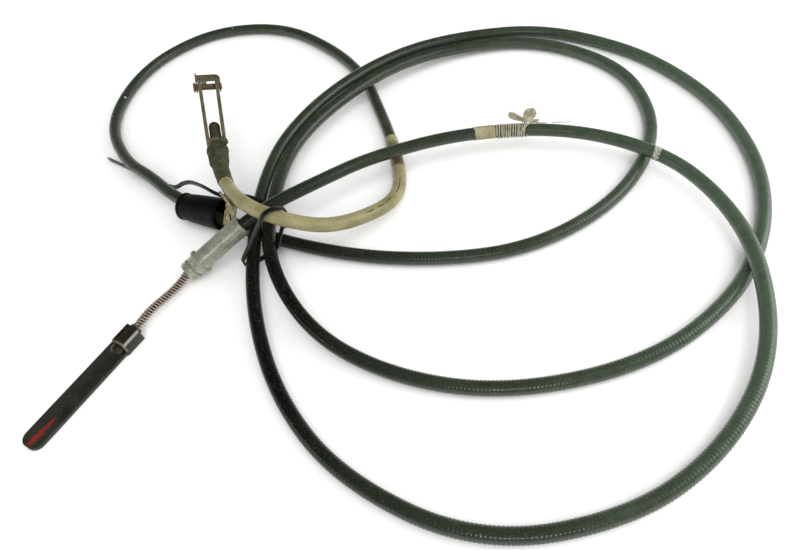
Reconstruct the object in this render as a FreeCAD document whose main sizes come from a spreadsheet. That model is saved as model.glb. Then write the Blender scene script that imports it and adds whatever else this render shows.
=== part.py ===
import FreeCAD, Part
import math
import os
from FreeCAD import Placement, Rotation, Vector

# Old vehicle hand brake cable: a spiral conduit laid in loose loops, with a pull lever
# and return spring at one end and a slotted yoke at the other. Millimetres, +Z up,
# the floor is z = 0, and the origin lies under the middle of the end fittings.

doc = FreeCAD.newDocument("hand_brake_cable")

# Driving sizes, one row each: alias, value, meaning
SIZES = [
    ("conduit_od", 10.0, "outside of the ribbed vinyl jacket"),
    ("jacket_wall", 1.3, "vinyl wall over the armour"),
    ("armour_wall", 1.3, "flat wire spiral under the jacket"),
    ("liner_wall", 0.7, "plastic tube inside the armour"),
    ("layer_gap", 0.1, "radial gap between two layers of the conduit"),
    ("wire_dia", 2.6, "steel pull wire"),
    ("sleeve_wall", 0.3, "tan heat sleeve over the jacket"),
    ("sleeve_from_end", 268.0, "start of the sleeve, measured back from the yoke end"),
    ("wrap_from_end", 33.5, "start of the tape wrap, measured back from the yoke end"),
    ("wrap_to_end", 13.2, "end of the tape wrap, measured back from the yoke end"),
    ("wrap_od", 12.8, "outside of the olive tape wrap"),
    ("ferrule_length", 52.3, "conduit ferrule at the lever"),
    ("ferrule_od", 14.8, "plain body of the ferrule"),
    ("nose_od", 15.3, "ferrule nose beyond its ring"),
    ("ring_od", 19.0, "thin proud ring on the ferrule"),
    ("ring_width", 1.8, "thickness of that ring"),
    ("ring_place", 11.0, "near side of the ring from the mouth"),
    ("clip_groove_od", 13.2, "bottom of the groove in the nose"),
    ("clip_groove_width", 1.3, "width of the groove in the nose"),
    ("clip_groove_place", 5.2, "near side of the groove from the mouth"),
    ("socket_depth", 16.0, "conduit length held in the ferrule"),
    ("socket_gap", 0.1, "radial gap round the conduit in its sockets"),
    ("mouth_bore", 9.6, "recess in the ferrule mouth for the spring"),
    ("mouth_depth", 4.5, "depth of that recess"),
    ("bush_od", 6.4, "guide bush in the ferrule"),
    ("bush_bore", 3.2, "hole of the guide bush for the wire"),
    ("bush_length", 16.0, "length of the guide bush"),
    ("ferrule_bore", 4.4, "hole of the ferrule behind the bush"),
    ("lever_wire_length", 72.0, "from the ferrule mouth to the nipple centre"),
    ("lever_angle", 59.3, "heading of the lever wire in plan, degrees"),
    ("spring_wire", 1.2, "wire of the return spring"),
    ("spring_od", 6.4, "outside of the return spring"),
    ("spring_turns", 24.0, "turns of the return spring"),
    ("seat_od", 8.2, "washer between spring and lever"),
    ("seat_bore", 3.4, "hole of that washer"),
    ("seat_thickness", 1.2, "thickness of that washer"),
    ("seat_clearance", 0.7, "washer to lever, so that the lever can tilt"),
    ("nipple_dia", 7.8, "ball on the end of the wire"),
    ("nipple_neck_dia", 4.0, "crimped neck of the ball"),
    ("nipple_neck_length", 7.0, "end of the neck from the ball centre"),
    ("nipple_belt", 1.6, "turned belt round the ball, upright"),
    ("blade_thickness", 3.0, "flat steel of the lever"),
    ("blade_width", 16.0, "flat steel of the lever"),
    ("blade_length", 94.4, "lever from its folded channel end to its rounded tip"),
    ("blade_shift", 4.3, "blade middle beside the wire line"),
    ("tip_radius", 6.5, "rounding of the lever tip"),
    ("channel_width", 9.8, "folded channel, outside"),
    ("channel_wall", 1.6, "walls of the channel"),
    ("channel_roof", 1.4, "roof of the channel"),
    ("channel_height", 12.3, "folded channel, from the floor"),
    ("channel_length", 15.0, "folded channel, along the wire"),
    ("channel_slit", 1.2, "seam left open where the fold meets its wall"),
    ("cap_od", 12.2, "metal cap on the yoke end of the conduit"),
    ("cap_socket", 13.0, "conduit length held in the cap"),
    ("cap_end_wall", 2.4, "end wall of the cap"),
    ("rod_dia", 3.0, "rod that pulls the yoke"),
    ("rod_inside", 16.0, "rod length inside the conduit at rest"),
    ("rod_gap", 0.3, "radial gap round the rod"),
    ("wire_to_rod", 0.5, "wire end to rod end, inside the conduit"),
    ("boot_wall", 1.2, "rubber of the ribbed boot"),
    ("boot_length", 16.0, "ribbed boot"),
    ("boot_rib", 0.5, "height of the ribs"),
    ("boot_ribs", 3.0, "ribs behind the collar"),
    ("boot_taper", 0.9, "how much slimmer the back of the boot is, in radius"),
    ("boot_collar", 16.4, "collar of the boot, outside"),
    ("collar_width", 3.2, "collar of the boot"),
    ("boot_clearance", 5.0, "boot to yoke"),
    ("strap_thickness", 2.8, "flat steel of the yoke"),
    ("strap_width", 11.0, "flat steel of the yoke"),
    ("yoke_base_width", 15.0, "yoke over its rounded base"),
    ("yoke_tip_width", 16.6, "yoke over its tips"),
    ("yoke_pin_place", 67.0, "pin axis from the base"),
    ("yoke_hole", 3.6, "hole of the base for the rod"),
    ("barrel_od", 8.6, "domed barrel on the rod"),
    ("barrel_length", 20.0, "domed barrel on the rod"),
    ("washer_od", 7.6, "washer under the barrel"),
    ("washer_thickness", 1.0, "washer under the barrel"),
    ("pin_dia", 5.0, "clevis pin"),
    ("pin_gap", 0.05, "running gap of the pin, radial"),
    ("pin_head_od", 7.4, "head of the clevis pin"),
    ("pin_head", 1.8, "thickness of the head"),
    ("pin_stub", 2.4, "pin beyond the yoke on the far side"),
    ("clip_strip", 1.2, "steel strip of the pin clip"),
    ("clip_height", 6.5, "height of the strip"),
    ("clip_reach", 11.5, "clip bridge from the pin axis"),
    ("clip_lug", 2.4, "tab of the clip past its bridge"),
    ("clip_bend", 4.5, "outer radius of the clip's bent corner"),
    ("clip_eye_od", 8.6, "eyes of the clip on the pin"),
    ("side_gap", 0.4, "sideways gap between clip and yoke"),
    ("gaiter_wall", 1.3, "rubber of the gaiter"),
    ("gaiter_rim", 20.2, "narrower rim of the gaiter, outside"),
    ("gaiter_mouth", 25.0, "wide mouth of the gaiter, outside"),
    ("gaiter_bead", 0.6, "bead round its rim"),
    ("bracket_width", 17.0, "sheet bracket on the sleeve, along it"),
    ("bracket_sheet", 1.6, "sheet of the bracket"),
    ("bracket_gap", 0.7, "radial gap between saddle and sleeve, for the bend"),
    ("bracket_drop", 30.0, "long side of the tab, from the sleeve's middle"),
    ("bracket_short", 14.0, "short side of the tab, from the sleeve's middle"),
    ("bracket_hole", 6.6, "hole of the tab"),
    ("bracket_hole_drop", 18.5, "hole of the tab, from the sleeve's middle"),
    ("bracket_hole_shift", -1.5, "hole of the tab, along the sleeve"),
    ("bracket_lean", 30.0, "degrees that the tab leans towards the lever side"),
    ("bracket_from_end", 50.0, "bracket along the conduit from the yoke end"),
    ("tie_width", 3.6, "cable tie strap"),
    ("tie_thickness", 1.2, "cable tie strap"),
    ("tie_gap", 0.55, "strap to what it holds"),
    ("tie_head", 5.6, "cable tie head"),
    ("tie_from_end", 93.0, "cable tie over the sleeve, measured back from the yoke end"),
    ("tie_heading", 33.0, "heading of the tie's loop in plan, degrees"),
    ("label_from_start", 209.0, "paper label along the conduit"),
    ("label_length", 15.5, "paper label"),
    ("label_wall", 0.3, "paper label"),
    ("string_dia", 1.3, "string on the conduit"),
    ("string_turns", 13.0, "turns of the string"),
    ("string_pitch", 1.8, "spacing of the string turns"),
    ("string_from_start", 226.0, "first turn of the string along the conduit"),
    ("marker_from_start", 346.0, "white marker ring along the conduit"),
    ("marker_length", 5.0, "white marker ring"),
    ("marker_wall", 0.25, "white marker ring"),
]

sheet = doc.addObject("Spreadsheet::Sheet", "sizes")
for row, (alias, value, meaning) in enumerate(SIZES, start=1):
    sheet.set("A%d" % row, meaning)
    sheet.set("B%d" % row, str(value))
    sheet.setAlias("B%d" % row, alias)
doc.recompute()


def size(alias):
    """One driving size from the sheet, as a number."""
    return float(sheet.get(alias))


# Route of the conduit's middle line, chosen by hand: out of the ferrule, three large
# loops and a small one, then over the gathered strands to the yoke.
ROUTE = [
    (48.7, -8.1, 21.5),
    (73.1, 5.5, 33.1),
    (113, 34, 29.5),
    (153, 63, 24),
    (224, 86, 20),
    (304, 83, 18),
    (366, 49, 17),
    (393, 0, 17.5),
    (401, -57, 17),
    (387, -122, 11),
    (349, -172, 5.5),
    (293, -207, 5),
    (212, -218, 5),
    (138, -180, 5),
    (96, -128, 5),
    (73, -66, 10.5),
    (66.5, -2.4, 16.5),
    (66.3, 54.4, 15.8),
    (79, 106.1, 17.5),
    (116.5, 159.2, 20),
    (172.4, 205.6, 18.5),
    (234.3, 232.9, 11),
    (306, 240, 5),
    (371, 199, 5),
    (406, 155, 5),
    (429, 103, 5),
    (435, 39, 5),
    (418, -24, 5),
    (382, -76, 5),
    (321, -118, 5),
    (237, -133, 5),
    (168, -118, 5),
    (112, -83, 8.5),
    (78, -23.3, 16),
    (76.5, 36.5, 16.3),
    (84, 91.6, 14.8),
    (111.6, 137.6, 15.6),
    (163.9, 187.8, 16.4),
    (225.3, 219.5, 8.5),
    (298, 224, 5),
    (362, 174, 5),
    (375, 110, 5),
    (360, 57, 5),
    (321, 9, 5),
    (263, -23, 5),
    (202, -28, 5),
    (134, -18, 5),
    (57, 12, 5.5),
    (-4, 47, 12.5),
    (-31, 75.5, 11.5),
    (-62, 101, 9.3),
    (-93, 157, 5),
    (-88, 219, 5),
    (-62, 266, 5),
    (-12, 297, 5),
    (56.6, 289.2, 5),
    (111.2, 238.4, 5),
    (141.1, 189.5, 5),
    (151.7, 151.6, 5),
    (163.1, 111.1, 5),
    (171.1, 70.5, 5.5),
    (172.4, 41.5, 7),
    (161.7, 15.8, 15),
    (128, -10.8, 28),
    (96.3, -12, 40),
    (65.2, 4.2, 42.2),
    (43, 37.5, 36.7),
    (36.5, 64, 40),
]
ARC_SHARE = 0.45


def rounded(points):
    """Straight runs joined by tangent arcs through a list of points, as edges."""
    corners = [Vector(*point) for point in points]
    edges = []
    radii = []
    last = corners[0]
    for before, here, after in zip(corners, corners[1:], corners[2:]):
        shorter = min((here - before).Length, (after - here).Length)
        reach = ARC_SHARE * shorter
        into = (here - before).normalize()
        out = (after - here).normalize()
        half = 0.5 * into.getAngle(out)
        radii.append(reach / math.tan(half))
        start = here - into * reach
        end = here + out * reach
        weight = math.cos(half)
        middle = (start + here * (2 * weight) + end) * (1 / (2 + 2 * weight))
        edges.append(Part.LineSegment(last, start).toShape())
        edges.append(Part.Arc(start, middle, end).toShape())
        last = end
    edges.append(Part.LineSegment(last, corners[-1]).toShape())
    return edges, radii


def length_of(edges):
    return sum(edge.Length for edge in edges)


def stretch(edges, start, end):
    """The part of a chain of edges between two lengths along it, as edges."""
    piece = []
    done = 0.0
    for edge in edges:
        low = max(start - done, 0.0)
        high = min(end - done, edge.Length)
        if high - low > 0.01:
            first = edge.getParameterByLength(low)
            last = edge.getParameterByLength(high)
            piece.append(edge.Curve.toShape(first, last))
        done += edge.Length
    return piece


def along(edges, place):
    """Point and heading at a length along a chain of edges."""
    for edge in edges:
        if place <= edge.Length:
            parameter = edge.getParameterByLength(max(place, 0.0))
            return edge.valueAt(parameter), edge.tangentAt(parameter).normalize()
        place -= edge.Length
    parameter = edges[-1].LastParameter
    return edges[-1].valueAt(parameter), edges[-1].tangentAt(parameter).normalize()


def heading_frame(origin, heading, up=Vector(0, 0, 1)):
    """A placement whose X runs along a heading and whose Z leans as near to up as it can."""
    return Placement(origin, Rotation(heading, Vector(0, 0, 0), up, "XZY"))


def finish(shape_object, label, placement=None):
    """Give a finished object its node name and its place."""
    shape_object.Label = label
    if placement is not None:
        shape_object.Placement = placement
    NODES.append(shape_object)
    return shape_object


NODES = []
KEEP_X = Rotation(Vector(0, 0, 1), Vector(1, 0, 0))


def cylinder(name, radius, length, start):
    """A cylinder along X whose radius, length and start are expressions."""
    made = doc.addObject("Part::Cylinder", name)
    made.Placement = Placement(Vector(0, 0, 0), KEEP_X)
    made.setExpression("Radius", radius)
    made.setExpression("Height", length)
    made.setExpression("Placement.Base.x", start)
    return made


def cone(name, radius_a, radius_b, length, start):
    """A cone along X whose sizes are expressions."""
    made = doc.addObject("Part::Cone", name)
    made.Placement = Placement(Vector(0, 0, 0), KEEP_X)
    made.setExpression("Radius1", radius_a)
    made.setExpression("Radius2", radius_b)
    made.setExpression("Height", length)
    made.setExpression("Placement.Base.x", start)
    return made


def box(name, length, width, height, x, y, z):
    """A box whose sizes and corner are expressions."""
    made = doc.addObject("Part::Box", name)
    made.setExpression("Length", length)
    made.setExpression("Width", width)
    made.setExpression("Height", height)
    made.setExpression("Placement.Base.x", x)
    made.setExpression("Placement.Base.y", y)
    made.setExpression("Placement.Base.z", z)
    return made


def fuse(name, pieces):
    made = doc.addObject("Part::MultiFuse", name)
    made.Shapes = pieces
    made.Refine = True
    return made


def cut(name, base, tool):
    made = doc.addObject("Part::Cut", name)
    made.Base = base
    made.Tool = tool
    return made


def path_feature(name, edges):
    made = doc.addObject("Part::Feature", name)
    made.Shape = Part.Wire(edges)
    return made


def swept(name, spine, radius):
    """A round section carried along a path; the radius is an expression."""
    first = spine.Shape.Edges[0]
    start = first.valueAt(first.FirstParameter)
    heading = first.tangentAt(first.FirstParameter)
    ring = doc.addObject("Part::Circle", name + "_ring")
    ring.setExpression("Radius", radius)
    ring.Placement = Placement(start, Rotation(Vector(0, 0, 1), heading))
    sweep = doc.addObject("Part::Sweep", name)
    sweep.Sections = [ring]
    sweep.Spine = (spine, [])
    sweep.Solid = True
    sweep.Frenet = False
    return sweep


def hose(label, edges, outer, inner):
    """A hollow tube along a path; outer and inner radius are expressions."""
    spine = path_feature(label + "_path", edges)
    skin = swept(label + "_skin", spine, outer)
    hole = swept(label + "_hole", spine, inner)
    return finish(cut(label + "_tube", skin, hole), label)


def biarc(point_a, heading_a, point_b, heading_b):
    """Two arcs that join two points along their headings."""
    chord = point_b - point_a
    both = heading_a + heading_b
    bend = 2 * (1 - heading_a.dot(heading_b))
    along_both = chord.dot(both)
    reach = (math.sqrt(along_both ** 2 + bend * chord.dot(chord)) - along_both) / bend
    corner_a = point_a + heading_a * reach
    corner_b = point_b - heading_b * reach
    joint = (corner_a + corner_b) * 0.5
    edges = []
    for start, corner, end in ((point_a, corner_a, joint), (joint, corner_b, point_b)):
        weight = 0.5 * (end - start).Length / reach
        middle = (start + corner * (2 * weight) + end) * (1 / (2 + 2 * weight))
        edges.append(Part.Arc(start, middle, end).toShape())
    return edges


QUARTERS = 4


def winding(label, axis_edges, start, end, turns, radius, thickness):
    """One unbroken wound tube round an axis path, with a quarter turn to each biarc."""
    steps = int(round(turns * QUARTERS))

    def on_helix(share):
        middle, heading = along(axis_edges, start + (end - start) * share)
        frame = heading_frame(middle, heading)
        angle = 2 * math.pi * turns * share
        return frame.multVec(Vector(0, radius * math.cos(angle), radius * math.sin(angle)))

    nudge = 0.001
    points = [on_helix(step / steps) for step in range(steps + 1)]
    headings = []
    for step in range(steps + 1):
        share = step / steps
        headings.append((on_helix(share + nudge) - on_helix(share - nudge)).normalize())
    edges = [Part.LineSegment(points[0] - headings[0] * thickness, points[0]).toShape()]
    for step in range(steps):
        edges += biarc(points[step], headings[step], points[step + 1], headings[step + 1])
    tail = points[-1] + headings[-1] * thickness
    edges.append(Part.LineSegment(points[-1], tail).toShape())
    wire = Part.Wire(edges)
    ring = Part.Wire(Part.makeCircle(0.5 * thickness, points[0] - headings[0] * thickness, headings[0]))
    made = doc.addObject("Part::Feature", label)
    made.Shape = wire.makePipeShell([ring], True, False)
    samples = [on_helix(step / (steps * 6)) for step in range(steps * 6 + 1)]
    one_turn = 6 * QUARTERS
    gap = min(
        (samples[here] - samples[other]).Length
        for here in range(len(samples))
        for other in range(here + one_turn // 2, min(here + 2 * one_turn, len(samples)))
    )
    print("%s: least gap to itself %.2f mm" % (label, gap - thickness))
    return finish(made, label)


def revolved(label, outline, placement):
    """A turned piece: a closed half outline of (x, radius) pairs, spun about X."""
    body = doc.addObject("PartDesign::Body", label + "_body")
    plane = [item for item in body.Origin.OriginFeatures if item.Role == "XY_Plane"][0]
    sketch = body.newObject("Sketcher::SketchObject", label + "_outline")
    sketch.AttachmentSupport = (plane, [""])
    sketch.MapMode = "FlatFace"
    corners = [Vector(x, radius, 0) for x, radius in outline]
    for start, end in zip(corners, corners[1:] + corners[:1]):
        sketch.addGeometry(Part.LineSegment(start, end))
    turn = body.newObject("PartDesign::Revolution", label + "_turn")
    turn.Profile = sketch
    turn.ReferenceAxis = (sketch, ["H_Axis"])
    turn.Angle = 360
    return finish(body, label, placement)


# The conduit's layers
edges, radii = rounded(ROUTE)
total = length_of(edges)
print("conduit length %.0f mm" % total)
print("radii at the corners: " + ", ".join("%.0f" % radius for radius in radii))

jacket = hose("conduit_jacket", edges, "sizes.conduit_od / 2", "sizes.conduit_od / 2 - sizes.jacket_wall")
armour_outer = "(sizes.conduit_od / 2 - sizes.jacket_wall - sizes.layer_gap)"
armour = hose("conduit_armour", edges, armour_outer, armour_outer + " - sizes.armour_wall")
liner_outer = "(%s - sizes.armour_wall - sizes.layer_gap)" % armour_outer
liner = hose("conduit_liner", edges, liner_outer, liner_outer + " - sizes.liner_wall")

# Lever end: the ferrule lies on the conduit's first run
ferrule_heading = (Vector(*ROUTE[1]) - Vector(*ROUTE[0])).normalize()
mouth = Vector(*ROUTE[0]) - ferrule_heading * (size("ferrule_length") - size("socket_depth"))
ferrule_frame = heading_frame(mouth, ferrule_heading)
lever_turn = math.radians(size("lever_angle"))
lever_heading = Vector(math.cos(lever_turn), math.sin(lever_turn), 0)
nipple = mouth - lever_heading * size("lever_wire_length")
lever_frame = heading_frame(nipple, lever_heading)

ferrule_solid = fuse("ferrule_solid", [
    cylinder("ferrule_body", "sizes.ferrule_od / 2", "sizes.ferrule_length", "0"),
    cylinder("ferrule_nose", "sizes.nose_od / 2", "sizes.ring_place", "0"),
    cylinder("ferrule_ring", "sizes.ring_od / 2", "sizes.ring_width", "sizes.ring_place"),
])
groove = cut(
    "groove_tool",
    cylinder("groove_outer", "sizes.ring_od", "sizes.clip_groove_width", "sizes.clip_groove_place"),
    cylinder("groove_inner", "sizes.clip_groove_od / 2", "sizes.clip_groove_width", "sizes.clip_groove_place"),
)
ferrule_holes = fuse("ferrule_holes", [
    groove,
    cylinder("mouth_recess", "sizes.mouth_bore / 2", "sizes.mouth_depth", "0"),
    cylinder("bush_seat", "sizes.bush_od / 2", "sizes.bush_length", "sizes.mouth_depth"),
    cylinder("wire_way", "sizes.ferrule_bore / 2", "sizes.ferrule_length - sizes.mouth_depth", "sizes.mouth_depth"),
    cylinder(
        "conduit_socket", "sizes.conduit_od / 2 + sizes.socket_gap", "sizes.socket_depth",
        "sizes.ferrule_length - sizes.socket_depth",
    ),
])
finish(cut("ferrule_turned", ferrule_solid, ferrule_holes), "lever_ferrule", ferrule_frame)

bush_hole = cylinder("bush_hole", "sizes.bush_bore / 2", "sizes.bush_length", "sizes.mouth_depth")
bush_blank = cylinder("bush_blank", "sizes.bush_od / 2", "sizes.bush_length", "sizes.mouth_depth")
finish(cut("bush_turned", bush_blank, bush_hole), "ferrule_bush", ferrule_frame)

# The pull wire: round the bend at the mouth, through the ferrule and the whole conduit
BEND_REACH = 3.6
bend_half = 0.5 * lever_heading.getAngle(ferrule_heading)
bend_start = mouth - lever_heading * BEND_REACH
bend_end = mouth + ferrule_heading * BEND_REACH
bend_weight = math.cos(bend_half)
bend_middle = (bend_start + mouth * (2 * bend_weight) + bend_end) * (1 / (2 + 2 * bend_weight))
wire_edges = [
    Part.Arc(bend_start, bend_middle, bend_end).toShape(),
    Part.LineSegment(bend_end, Vector(*ROUTE[0])).toShape(),
]
wire_edges += stretch(edges, 0, total - size("rod_inside") - size("wire_to_rod"))
wire_path = path_feature("inner_wire_path", wire_edges)
finish(swept("inner_wire_sweep", wire_path, "sizes.wire_dia / 2"), "inner_wire")

straight_end = size("lever_wire_length") - BEND_REACH
revolved("lever_wire", [
    (size("nipple_neck_length"), 0.0),
    (size("nipple_neck_length"), 0.5 * size("wire_dia")),
    (straight_end, 0.5 * size("wire_dia")),
    (straight_end, 0.0),
], lever_frame)

# Ball nipple with a crimped neck
ball = doc.addObject("Part::Sphere", "nipple_ball")
ball.setExpression("Radius", "sizes.nipple_dia / 2")
neck = cylinder("nipple_neck", "sizes.nipple_neck_dia / 2", "sizes.nipple_neck_length", "0")
belt = doc.addObject("Part::Cylinder", "nipple_belt")
belt.setExpression("Radius", "sizes.nipple_dia / 2")
belt.setExpression("Height", "sizes.nipple_belt")
belt.setExpression("Placement.Base.z", "-sizes.nipple_belt / 2")
finish(fuse("nipple_solid", [ball, belt, neck]), "wire_nipple", lever_frame)

# The lever: a flat blade whose end is folded up and over into a channel
half_inner = 0.5 * size("channel_width") - size("channel_wall")
channel_start = math.sqrt((0.5 * size("nipple_dia")) ** 2 - half_inner ** 2) + 0.1
channel_end = channel_start + size("channel_length")
floor_drop = nipple.z
sheet_row = len(SIZES) + 1
sheet.set("A%d" % sheet_row, "channel end from the ball centre, worked out from the ball's seat")
sheet.set(
    "B%d" % sheet_row,
    "=sqrt(pow(nipple_dia / 2; 2) - pow(channel_width / 2 - channel_wall; 2)) + 0.1",
)
sheet.setAlias("B%d" % sheet_row, "channel_start")
sheet.set("A%d" % (sheet_row + 1), "height of the lever wire over the floor")
sheet.set("B%d" % (sheet_row + 1), "%.4f" % floor_drop)
sheet.setAlias("B%d" % (sheet_row + 1), "wire_height")
doc.recompute()

blade = doc.addObject("PartDesign::Body", "lever_blade")
plane = [item for item in blade.Origin.OriginFeatures if item.Role == "XY_Plane"][0]
outline = blade.newObject("Sketcher::SketchObject", "blade_outline")
outline.AttachmentSupport = (plane, [""])
outline.MapMode = "FlatFace"
edge_low = size("blade_shift") - 0.5 * size("blade_width")
edge_high = size("blade_shift") + 0.5 * size("blade_width")
side = 0.5 * size("channel_width")
tip = channel_end - size("blade_length")
tip_radius = size("tip_radius")
slant = side + edge_low
sheet_points = [
    Vector(channel_end, edge_high - 1.0, 0),
    Vector(channel_end - 1.0, edge_high, 0),
    Vector(tip + tip_radius, edge_high, 0),
    Vector(tip, edge_high - tip_radius, 0),
    Vector(tip, edge_low + tip_radius, 0),
    Vector(tip + tip_radius, edge_low, 0),
    Vector(channel_start - slant, edge_low, 0),
    Vector(channel_start, -side, 0),
    Vector(channel_end, -side, 0),
]
bow = tip_radius * (1 - math.sqrt(0.5))
tip_corners = {
    2: Vector(tip + bow, edge_high - bow, 0),
    4: Vector(tip + bow, edge_low + bow, 0),
}
for index, start in enumerate(sheet_points):
    end = sheet_points[(index + 1) % len(sheet_points)]
    if index in tip_corners:
        outline.addGeometry(Part.Arc(start, tip_corners[index], end))
    else:
        outline.addGeometry(Part.LineSegment(start, end))
blade_pad = blade.newObject("PartDesign::Pad", "blade_pad")
blade_pad.Profile = outline
blade_pad.setExpression("Length", "sizes.blade_thickness")
blade.setExpression("Placement.Base.z", "-sizes.wire_height")

channel_block = box(
    "channel_block", "sizes.channel_length", "sizes.channel_width", "sizes.channel_height",
    "sizes.channel_start", "-sizes.channel_width / 2", "-sizes.wire_height",
)
channel_inside = box(
    "channel_inside", "sizes.channel_length + 2", "sizes.channel_width - 2 * sizes.channel_wall",
    "sizes.channel_height - sizes.blade_thickness - sizes.channel_roof",
    "sizes.channel_start - 1", "sizes.channel_wall - sizes.channel_width / 2",
    "sizes.blade_thickness - sizes.wire_height",
)
channel_seam = box(
    "channel_seam", "sizes.channel_length + 2", "sizes.channel_slit", "sizes.channel_roof + 2",
    "sizes.channel_start - 1", "sizes.channel_width / 2 - sizes.channel_wall - sizes.channel_slit",
    "sizes.channel_height - sizes.channel_roof - sizes.wire_height - 1",
)
lever_blank = fuse("lever_blank", [blade, channel_block])
lever_holes = fuse("lever_holes", [channel_inside, channel_seam])
finish(cut("lever_folded", lever_blank, lever_holes), "brake_lever", lever_frame)

seat_start = "sizes.channel_start + sizes.channel_length + sizes.seat_clearance"
seat_blank = cylinder("seat_blank", "sizes.seat_od / 2", "sizes.seat_thickness", seat_start)
seat_hole = cylinder("seat_hole", "sizes.seat_bore / 2", "sizes.seat_thickness", seat_start)
finish(cut("seat_turned", seat_blank, seat_hole), "spring_washer", lever_frame)

# Return spring between the washer and the ferrule mouth
spring_axis = [Part.LineSegment(nipple, mouth).toShape()]
spring_radius = 0.5 * (size("spring_od") - size("spring_wire"))
spring_rest = 0.75 * size("spring_wire")
spring_start = channel_end + size("seat_clearance") + size("seat_thickness") + spring_rest
spring_end = size("lever_wire_length") - spring_rest
winding(
    "return_spring", spring_axis, spring_start, spring_end,
    size("spring_turns"), spring_radius, size("spring_wire"),
)

# Yoke end: cap, boot and yoke lie on the conduit's last run
yoke_heading = (Vector(*ROUTE[-1]) - Vector(*ROUTE[-2])).normalize()
yoke_base = Vector(*ROUTE[-1]) + yoke_heading * (size("cap_end_wall") + size("boot_clearance") + 1.0)
YOKE_UP = Vector(0.246, -0.059, 0.968)
yoke_frame = heading_frame(yoke_base, yoke_heading, YOKE_UP)
end_frame = heading_frame(Vector(*ROUTE[-1]), yoke_heading)

cap_blank = cylinder("cap_blank", "sizes.cap_od / 2", "sizes.cap_socket + sizes.cap_end_wall", "-sizes.cap_socket")
cap_holes = fuse("cap_holes", [
    cylinder("cap_conduit", "sizes.conduit_od / 2 + sizes.socket_gap", "sizes.cap_socket", "-sizes.cap_socket"),
    cylinder("cap_rod", "sizes.rod_dia / 2 + sizes.rod_gap", "sizes.cap_end_wall + 2", "-1"),
])
finish(cut("cap_turned", cap_blank, cap_holes), "yoke_end_cap", end_frame)

boot_inner = 0.5 * size("cap_od") + 0.1
boot_outer = boot_inner + size("boot_wall")
boot_front = size("cap_end_wall") + 1.0
boot_back = boot_front - size("boot_length")
rib_count = int(size("boot_ribs"))
rib_space = (boot_front - size("collar_width") - boot_back - 1.6) / rib_count


def boot_skin(x):
    """Outer radius of the boot between its ribs, slimmer towards the back."""
    return boot_outer - size("boot_taper") * (boot_front - size("collar_width") - x) / size("boot_length")


boot_outline = [(boot_back, boot_inner), (boot_back, boot_skin(boot_back) - 0.2)]
for rib in range(rib_count):
    valley = boot_back + 0.8 + rib * rib_space
    boot_outline.append((valley, boot_skin(valley)))
    for share in (0.3, 0.7):
        crest = valley + share * rib_space
        boot_outline.append((crest, boot_skin(crest) + size("boot_rib")))
boot_outline += [
    (boot_front - size("collar_width"), boot_outer),
    (boot_front - size("collar_width") + 0.5, 0.5 * size("boot_collar")),
    (boot_front - 0.5, 0.5 * size("boot_collar")),
    (boot_front, 0.5 * size("boot_collar") - 0.8),
    (boot_front, 0.5 * size("rod_dia") + 2 * size("rod_gap")),
    (size("cap_end_wall"), 0.5 * size("rod_dia") + 2 * size("rod_gap")),
    (size("cap_end_wall"), boot_inner),
]
revolved("ribbed_boot", boot_outline, end_frame)

sleeve_inner = "(sizes.conduit_od / 2 + sizes.layer_gap)"
sleeve_edges = stretch(edges, total - size("sleeve_from_end"), total - size("wrap_from_end"))
hose("heat_sleeve", sleeve_edges, sleeve_inner + " + sizes.sleeve_wall", sleeve_inner)
wrap_edges = stretch(edges, total - size("wrap_from_end"), total - size("wrap_to_end"))
hose("tape_wrap", wrap_edges, "sizes.wrap_od / 2", sleeve_inner)

# Rod with its domed barrel, which pulls on the yoke's base from inside
barrel_seat = "(sizes.strap_thickness + sizes.washer_thickness)"
rod_inner_end = -(size("cap_end_wall") + size("boot_clearance") + 1.0 + size("rod_inside"))
rod_outer_end = size("strap_thickness") + size("washer_thickness")
revolved("yoke_rod", [
    (rod_inner_end, 0.0),
    (rod_inner_end, 0.5 * size("rod_dia")),
    (rod_outer_end, 0.5 * size("rod_dia")),
    (rod_outer_end, 0.0),
], yoke_frame)
dome = doc.addObject("Part::Sphere", "barrel_dome")
dome.setExpression("Radius", "sizes.barrel_od / 2")
dome.setExpression(
    "Placement.Base.x",
    "sizes.strap_thickness + sizes.washer_thickness + sizes.barrel_length - sizes.barrel_od / 2",
)
barrel = cylinder(
    "barrel_bar", "sizes.barrel_od / 2", "sizes.barrel_length - sizes.barrel_od / 2", barrel_seat,
)
finish(fuse("barrel_solid", [barrel, dome]), "rod_barrel", yoke_frame)
washer_blank = cylinder("washer_blank", "sizes.washer_od / 2", "sizes.washer_thickness", "sizes.strap_thickness")
washer_hole = cylinder("washer_hole", "sizes.rod_dia / 2", "sizes.washer_thickness", "sizes.strap_thickness")
finish(cut("washer_turned", washer_blank, washer_hole), "barrel_washer", yoke_frame)

# Yoke: one steel strap bent into a long window
yoke = doc.addObject("PartDesign::Body", "yoke_bent")
plane = [item for item in yoke.Origin.OriginFeatures if item.Role == "XY_Plane"][0]
outline = yoke.newObject("Sketcher::SketchObject", "yoke_outline")
outline.AttachmentSupport = (plane, [""])
outline.MapMode = "FlatFace"
base_half = 0.5 * size("yoke_base_width")
tip_half = 0.5 * size("yoke_tip_width")
strap = size("strap_thickness")
tip_reach = size("yoke_pin_place") + 0.5 * size("strap_width")
OUTER_BEND = 5.0
INNER_BEND = 0.8


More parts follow.
